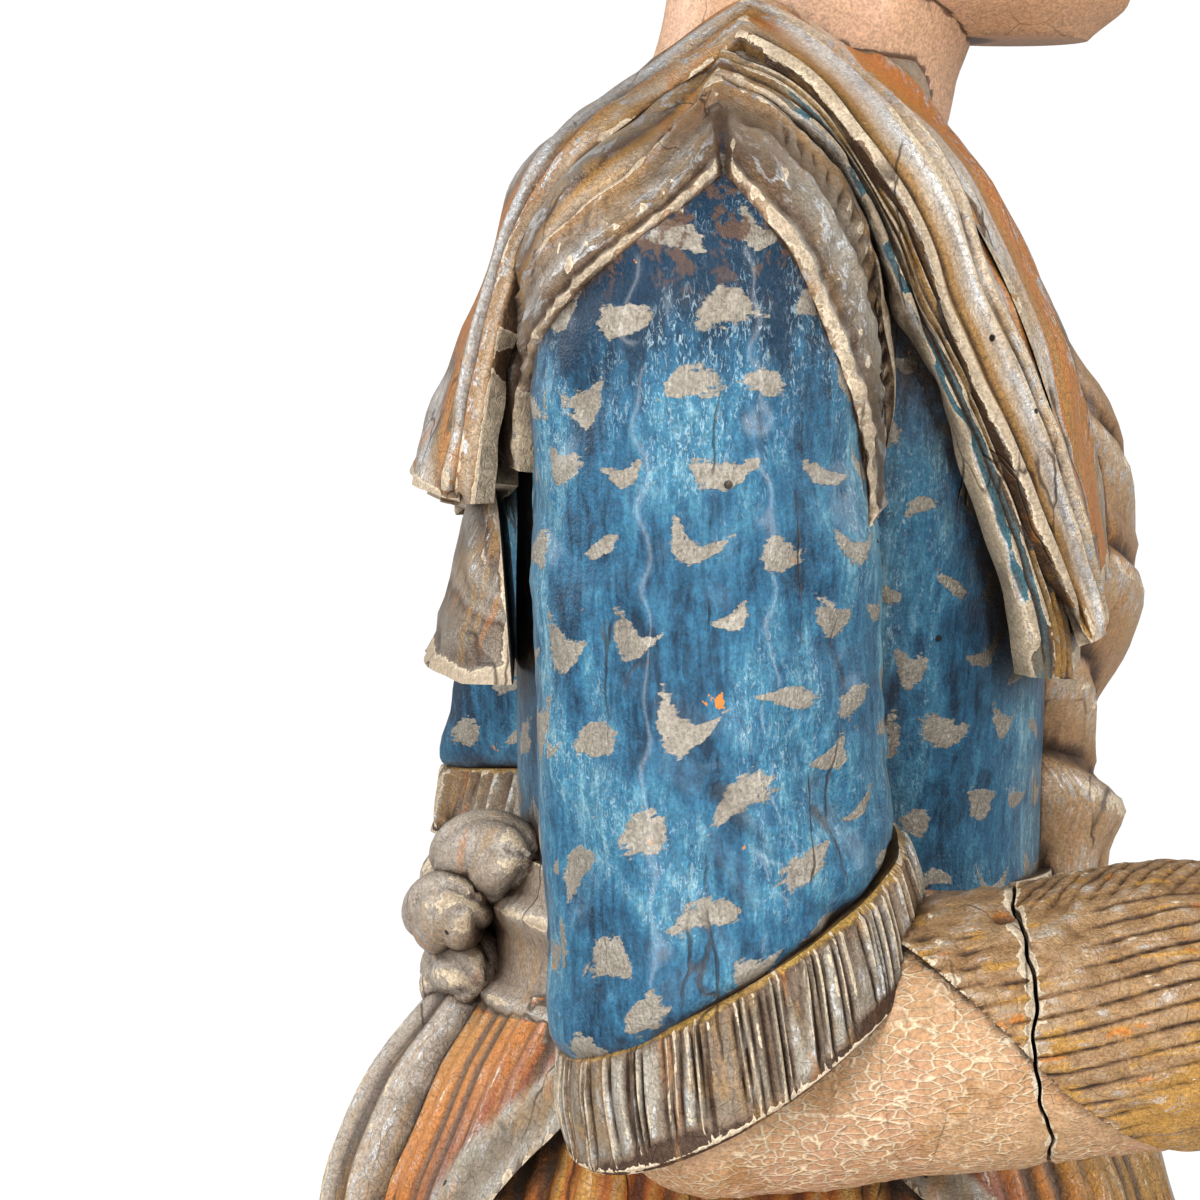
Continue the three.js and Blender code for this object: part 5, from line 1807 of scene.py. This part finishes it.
class STATUE_OT_figure(bpy.types.Operator):
    """Carves the figure as one block"""

    bl_idname = "statue.figure"
    bl_label = "Figure"

    def execute(self, context):
        paints = paints_of(context)
        pleats = context.scene.statue_carving.cuff_pleats
        right_sleeve, body = sleeve(RIGHT_ARM, 116, 92), jacket()
        lower_skin = collar(
            LOWER_LAPEL, LOWER_FRONT, LOWER_BACK, LOWER_RIBS, lapel_hem(22, 9), 136, 38, 101, "lower"
        )
        upper_skin = collar(
            UPPER_LAPEL, UPPER_FRONT, UPPER_BACK, UPPER_RIBS, lapel_hem(24, 10, 0.16), 136, 38, 111, "upper"
        )
        left_sleeve = sleeve(LEFT_ARM, 64, 44)
        bands = []
        for hand, arm_skin, columns, steps in (
            (-1, right_sleeve, 22, (1.3, 2.1)), (1, left_sleeve, 12, (2.6, 3.4))
        ):
            for lines, under, profile, paint, proud, step in (
                (ARMHOLE_BAND, [arm_skin, body, lower_skin], armhole_profile, "trim", 2.5, steps[0]),
                (LOWER_BAND, [arm_skin, body, lower_skin], lower_profile, "lower", 2.0, steps[1]),
                (UPPER_BAND, [arm_skin, upper_skin], upper_profile, "upper", 1.5, steps[1]),
            ):
                bands.append(band(*lines, under, profile, paint, columns, step, proud, hand=hand))
        lapels = []
        for skin, front, back in (
            (lower_skin, LOWER_FRONT, LOWER_BACK), (upper_skin, UPPER_FRONT, UPPER_BACK)
        ):
            lapel = as_object("lapel", skin, paints)
            opening = arch_outline(setback(front, -1), setback(back, 1))
            lapels.append(combine(lapel, bar_across(opening, skin.paint, paints), "DIFFERENCE"))
        cloth = as_object("apron", apron(), paints)
        apron_outline = np.vstack([APRON_FRONT, [(-104, 200), (112, 200)], APRON_BACK])
        combine(cloth, bar_across(apron_outline, "apron", paints), "DIFFERENCE")
        left_bare = bare_forearm(LEFT_ARM, -ELBOW_RADIUS, LEFT_ARM.reach + 8, 44, 40)
        broken = SEAM_REACH - CRACK_HALF
        elbow = bare_forearm(RIGHT_ARM, -ELBOW_RADIUS, broken, 110, 50, broken_end=True)
        sheath = as_object(
            "sheath", bare_forearm(RIGHT_ARM, -28, broken, 150, 50, False, True, True), paints
        )
        combine(sheath, bar_across(under_rim(), "bracer", paints), "DIFFERENCE")
        skins = [
            body, *lapels, neck(), head(), ear(-1), ear(1), hair(), topknot(), *head_band(),
            right_sleeve, cuff(RIGHT_ARM, pleats, 5), *bands, elbow, sheath,
            left_sleeve, cuff(LEFT_ARM, 52, 3), left_bare,
            bracer(LEFT_ARM, 90, 26), *fist(LEFT_ARM, 0.92, 44, 40),
            belt(), skirt(), cloth, robe(), sole(), *boots(), mantle(), *sash(),
        ]
        piece = united("figure_block", skins, paints)
        finished(piece, "carved_figure", "figure")
        return {"FINISHED"}


class STATUE_OT_forearm(bpy.types.Operator):
    """Carves the right forearm, with its bracer and hand, as a block of its own"""

    bl_idname = "statue.forearm"
    bl_label = "Right forearm"

    def execute(self, context):
        paints = paints_of(context)
        start = SEAM_REACH + CRACK_HALF
        bare = bare_forearm(RIGHT_ARM, start, RIGHT_ARM.reach + 8, 170, 80, broken_start=True)
        sheath = as_object(
            "sheath", bare_forearm(RIGHT_ARM, start, RIGHT_ARM.reach, 300, 96, True, False, True), paints
        )
        combine(sheath, bar_across(under_rim(), "bracer", paints), "DIFFERENCE")
        piece = united("forearm_block", [bare, sheath, *fist(RIGHT_ARM, 1.0, 90, 84)], paints)
        finished(piece, "carved_forearm", "right_forearm")
        return {"FINISHED"}


# The plinth's profile from its underside up: (share of the height, metres more, share of the inset).
FOOT_SHARE, CAP_SHARE, CAP_SETBACK, EASE = 0.4, 0.8, 0.4, 0.0012
PLINTH_PROFILE = [(0.0, 0.0, 0.07), (0.0, EASE, 0.0), (FOOT_SHARE, -EASE, 0.0), (FOOT_SHARE, 0.0, 0.11)]
PLINTH_PROFILE += [
    (FOOT_SHARE + 0.36 * t, 0.0003, 0.35 + 0.65 * math.sin(math.pi * (0.15 + 0.85 * t)) ** 0.7)
    for t in np.linspace(0, 1, 9).tolist()
]
PLINTH_PROFILE += [
    (CAP_SHARE, 0.0, 0.45), (0.815, 0.0, CAP_SETBACK), (1.0, -EASE, CAP_SETBACK), (1.0, 0.0, 0.55)
]


def plinth_tree():
    """A sheet drawn up through the plinth's profile, level by level, then worn along its edges."""
    tree = bpy.data.node_groups.new("Moulded plinth", "GeometryNodeTree")
    for label, default in (
        ("Width", 0.3), ("Depth", 0.3), ("Height", 0.05), ("Inset", 0.009), ("Wear", 0.0006)
    ):
        tree.interface.new_socket(label, in_out="INPUT", socket_type=VALUE).default_value = default
    tree.interface.new_socket("Wood", in_out="INPUT", socket_type="NodeSocketMaterial")
    tree.interface.new_socket("Plinth", in_out="OUTPUT", socket_type="NodeSocketGeometry")
    n = Nodes(tree)
    given = tree.nodes.new("NodeGroupInput").outputs
    spans = []
    for label in ("Width", "Depth"):
        spans.append([
            n.math("MULTIPLY_ADD", given["Inset"], -2.0 * level[2], given[label])
            for level in PLINTH_PROFILE
        ])
    sheet = n.add(
        "GeometryNodeMeshGrid", Size_X=spans[0][0], Size_Y=spans[1][0], Vertices_X=34, Vertices_Y=34
    )
    body, top = sheet.outputs["Mesh"], True
    for number, (level, before) in enumerate(zip(PLINTH_PROFILE[1:], PLINTH_PROFILE), 1):
        rise = n.math("MULTIPLY_ADD", given["Height"], level[0] - before[0], level[1] - before[1])
        up = n.add("ShaderNodeCombineXYZ", Z=rise).outputs[0]
        drawn = n.add(
            "GeometryNodeExtrudeMesh", {"mode": "FACES"}, Mesh=body, Selection=top, Offset=up,
            Offset_Scale=1.0
        )
        drawn.inputs["Individual"].default_value = False
        top = drawn.outputs["Top"]
        narrow = n.add(
            "ShaderNodeCombineXYZ",
            X=n.math("DIVIDE", spans[0][number], spans[0][number - 1]),
            Y=n.math("DIVIDE", spans[1][number], spans[1][number - 1]),
            Z=1.0,
        ).outputs[0]
        spot = n.vector("MULTIPLY", n.add("GeometryNodeInputPosition").outputs[0], narrow)
        body = n.add(
            "GeometryNodeSetPosition", Geometry=drawn.outputs["Mesh"], Selection=top, Position=spot
        ).outputs[0]
    under = n.add("GeometryNodeFlipFaces", Mesh=sheet.outputs["Mesh"]).outputs[0]
    both = n.add("GeometryNodeJoinGeometry").inputs[0]
    for part in (body, under):
        tree.links.new(part, both)
    closed = n.add("GeometryNodeMergeByDistance", Geometry=both.node.outputs[0], Distance=1e-6).outputs[0]
    sunk = n.between(n.noise(n.add("GeometryNodeInputPosition").outputs[0], 30.0), 0.45, 0.7)
    inward = n.vector("MULTIPLY", n.add("GeometryNodeInputNormal").outputs[0], (-1.0, -1.0, 0.0))
    amount = n.math("MULTIPLY", sunk, given["Wear"])
    push = n.vector("MULTIPLY", inward, n.add("ShaderNodeCombineXYZ", X=amount, Y=amount).outputs[0])
    worn = n.add("GeometryNodeSetPosition", Geometry=closed, Offset=push).outputs[0]
    wooden = n.add(
        "GeometryNodeSetMaterial", Geometry=n.add("GeometryNodeRealizeInstances", Geometry=worn).outputs[0]
    )
    n.feed(wooden.inputs["Material"], given["Wood"])
    tree.links.new(wooden.outputs[0], tree.nodes.new("NodeGroupOutput").inputs["Plinth"])
    return tree


class STATUE_OT_plinth(bpy.types.Operator):
    """Builds the low moulded plinth"""

    bl_idname = "statue.plinth"
    bl_label = "Plinth"

    def execute(self, context):
        wood = paints_of(context)[list(PAINTS).index("wood")]
        size = PLINTH_HIGH - PLINTH_LOW
        holder = bpy.data.objects.new("holder", bpy.data.meshes.new("holder"))
        context.scene.collection.objects.link(holder)
        modifier = holder.modifiers.new("plinth", "NODES")
        modifier.node_group = plinth_tree()
        inset = context.scene.statue_carving.moulding_inset
        settings = {"Width": size.x, "Depth": size.y, "Height": size.z, "Inset": inset, "Wood": wood}
        for item in modifier.node_group.interface.items_tree:
            if item.name in settings:
                modifier[item.identifier] = settings[item.name]
        evaluated = holder.evaluated_get(context.evaluated_depsgraph_get())
        mesh = bpy.data.meshes.new_from_object(evaluated)
        bpy.data.objects.remove(holder)
        middle = (PLINTH_LOW + PLINTH_HIGH) / 2
        mesh.transform(Matrix.Translation((middle.x, middle.y, PLINTH_LOW.z)))
        piece = bpy.data.objects.new("moulded_plinth", mesh)
        context.scene.collection.objects.link(piece)
        finished(piece, "moulded_plinth", "plinth", crease=30.0)
        return {"FINISHED"}


VIEW_BACK, VIEW_HEIGHT = 0.052, 0.676  # where the photograph looks, behind the middle and above the soles
VIEW_WIDTH = 0.3456  # what its frame takes in at the figure's middle
FLOOR_COLOUR, FLOOR_ROUGHNESS = (0.82, 0.82, 0.82, 1), 0.9
ROOM_LIGHT, SEEN_BACKGROUND = 0.30, 1.05  # strengths of the room's light and of the ground in view
LIT_SPOT = (-0.1, 0.0, SOLES + 0.68)  # what every lamp points at
# Lamps: (name, place, width and height, watts).
LAMPS = (
    ("key", (-1.35, 0.7, 1.85), (0.4, 0.4), 15.0),
    ("sheen", (-1.25, 0.8, 0.8), (0.12, 0.8), 9.0),
    ("front sheen", (-1.35, -0.8, 1.0), (0.12, 0.8), 10.0),
    ("low", (-1.7, 0.3, 0.35), (0.6, 0.6), 5.0),
    ("front", (0.5, -1.9, 1.5), (0.9, 0.9), 14.0),
    ("rear", (0.7, 1.7, 1.5), (0.9, 0.9), 15.0),
)


class STATUE_OT_stage(bpy.types.Operator):
    """Sets the floor, the light and the camera"""

    bl_idname = "statue.stage"
    bl_label = "Stage"

    def execute(self, context):
        scene = context.scene
        carving = scene.statue_carving
        half = carving.floor_size / 2
        mesh = bpy.data.meshes.new("floor")
        mesh.from_pydata(
            [(-half, -half, 0), (half, -half, 0), (half, half, 0), (-half, half, 0)], [], [(0, 1, 2, 3)]
        )
        floor = bpy.data.objects.new("floor", mesh)
        scene.collection.objects.link(floor)
        pale = bpy.data.materials.new("pale_floor")
        pale.use_nodes = True
        pale.node_tree.nodes["Principled BSDF"].inputs["Base Color"].default_value = FLOOR_COLOUR
        pale.node_tree.nodes["Principled BSDF"].inputs["Roughness"].default_value = FLOOR_ROUGHNESS
        mesh.materials.append(pale)

        world = bpy.data.worlds.new("studio")
        world.use_nodes = True
        n = Nodes(world.node_tree)
        seen = n.add("ShaderNodeLightPath").outputs["Is Camera Ray"]
        strength = n.between(seen, 0.0, 1.0, ROOM_LIGHT, SEEN_BACKGROUND)
        back = n.add("ShaderNodeBackground", Color=(1.0, 1.0, 1.0), Strength=strength)
        out = n.add("ShaderNodeOutputWorld")
        world.node_tree.links.new(back.outputs[0], out.inputs[0])
        scene.world = world

        target = np.array(LIT_SPOT)
        for name, at, size, power in LAMPS:
            data = bpy.data.lights.new(name, "AREA")
            data.shape = "RECTANGLE"
            data.size, data.size_y = size
            data.energy = power
            lamp = bpy.data.objects.new(name, data)
            scene.collection.objects.link(lamp)
            lamp.location = at
            lamp.rotation_euler = aim(np.array(at), target)

        data = bpy.data.cameras.new("photograph")
        data.sensor_width = 36.0
        data.sensor_fit = "HORIZONTAL"
        data.lens = 36.0 * carving.camera_distance / VIEW_WIDTH
        data.clip_end = 30.0
        camera = bpy.data.objects.new("photograph", data)
        camera.location = (-carving.camera_distance, VIEW_BACK, SOLES + VIEW_HEIGHT)
        camera.rotation_euler = (math.pi / 2, 0, -math.pi / 2)
        scene.collection.objects.link(camera)
        scene.camera = camera
        scene.view_settings.view_transform = "Standard"
        return {"FINISHED"}


def aim(start, target):
    """The turn that points a light from start at target."""
    return (Vector(target) - Vector(start)).to_track_quat("-Z", "Y").to_euler()


class STATUE_PT_panel(bpy.types.Panel):
    """Lists the pieces and their settings"""

    bl_label = "Guardian statue"
    bl_idname = "STATUE_PT_panel"
    bl_space_type = "VIEW_3D"
    bl_region_type = "UI"
    bl_category = "Statue"

    def draw(self, context):
        for operator in (STATUE_OT_figure, STATUE_OT_forearm, STATUE_OT_plinth, STATUE_OT_stage):
            self.layout.operator(operator.bl_idname)
        for group in (context.scene.statue_carving, context.scene.statue_colours):
            for name in group.bl_rna.properties.keys():
                if name not in ("rna_type", "name"):
                    self.layout.prop(group, name)


CLASSES = (
    StatueColours, StatueCarving, STATUE_OT_figure, STATUE_OT_forearm, STATUE_OT_plinth, STATUE_OT_stage,
    STATUE_PT_panel,
)


def register():
    for cls in CLASSES:
        bpy.utils.register_class(cls)
    bpy.types.Scene.statue_colours = PointerProperty(type=StatueColours)
    bpy.types.Scene.statue_carving = PointerProperty(type=StatueCarving)


def unregister():
    del bpy.types.Scene.statue_carving
    del bpy.types.Scene.statue_colours
    for cls in reversed(CLASSES):
        bpy.utils.unregister_class(cls)


def main():
    register()
    bpy.ops.statue.stage()
    bpy.ops.statue.plinth()
    bpy.ops.statue.figure()
    bpy.ops.statue.forearm()
    bpy.context.view_layer.update()


if __name__ == "__main__":
    main()
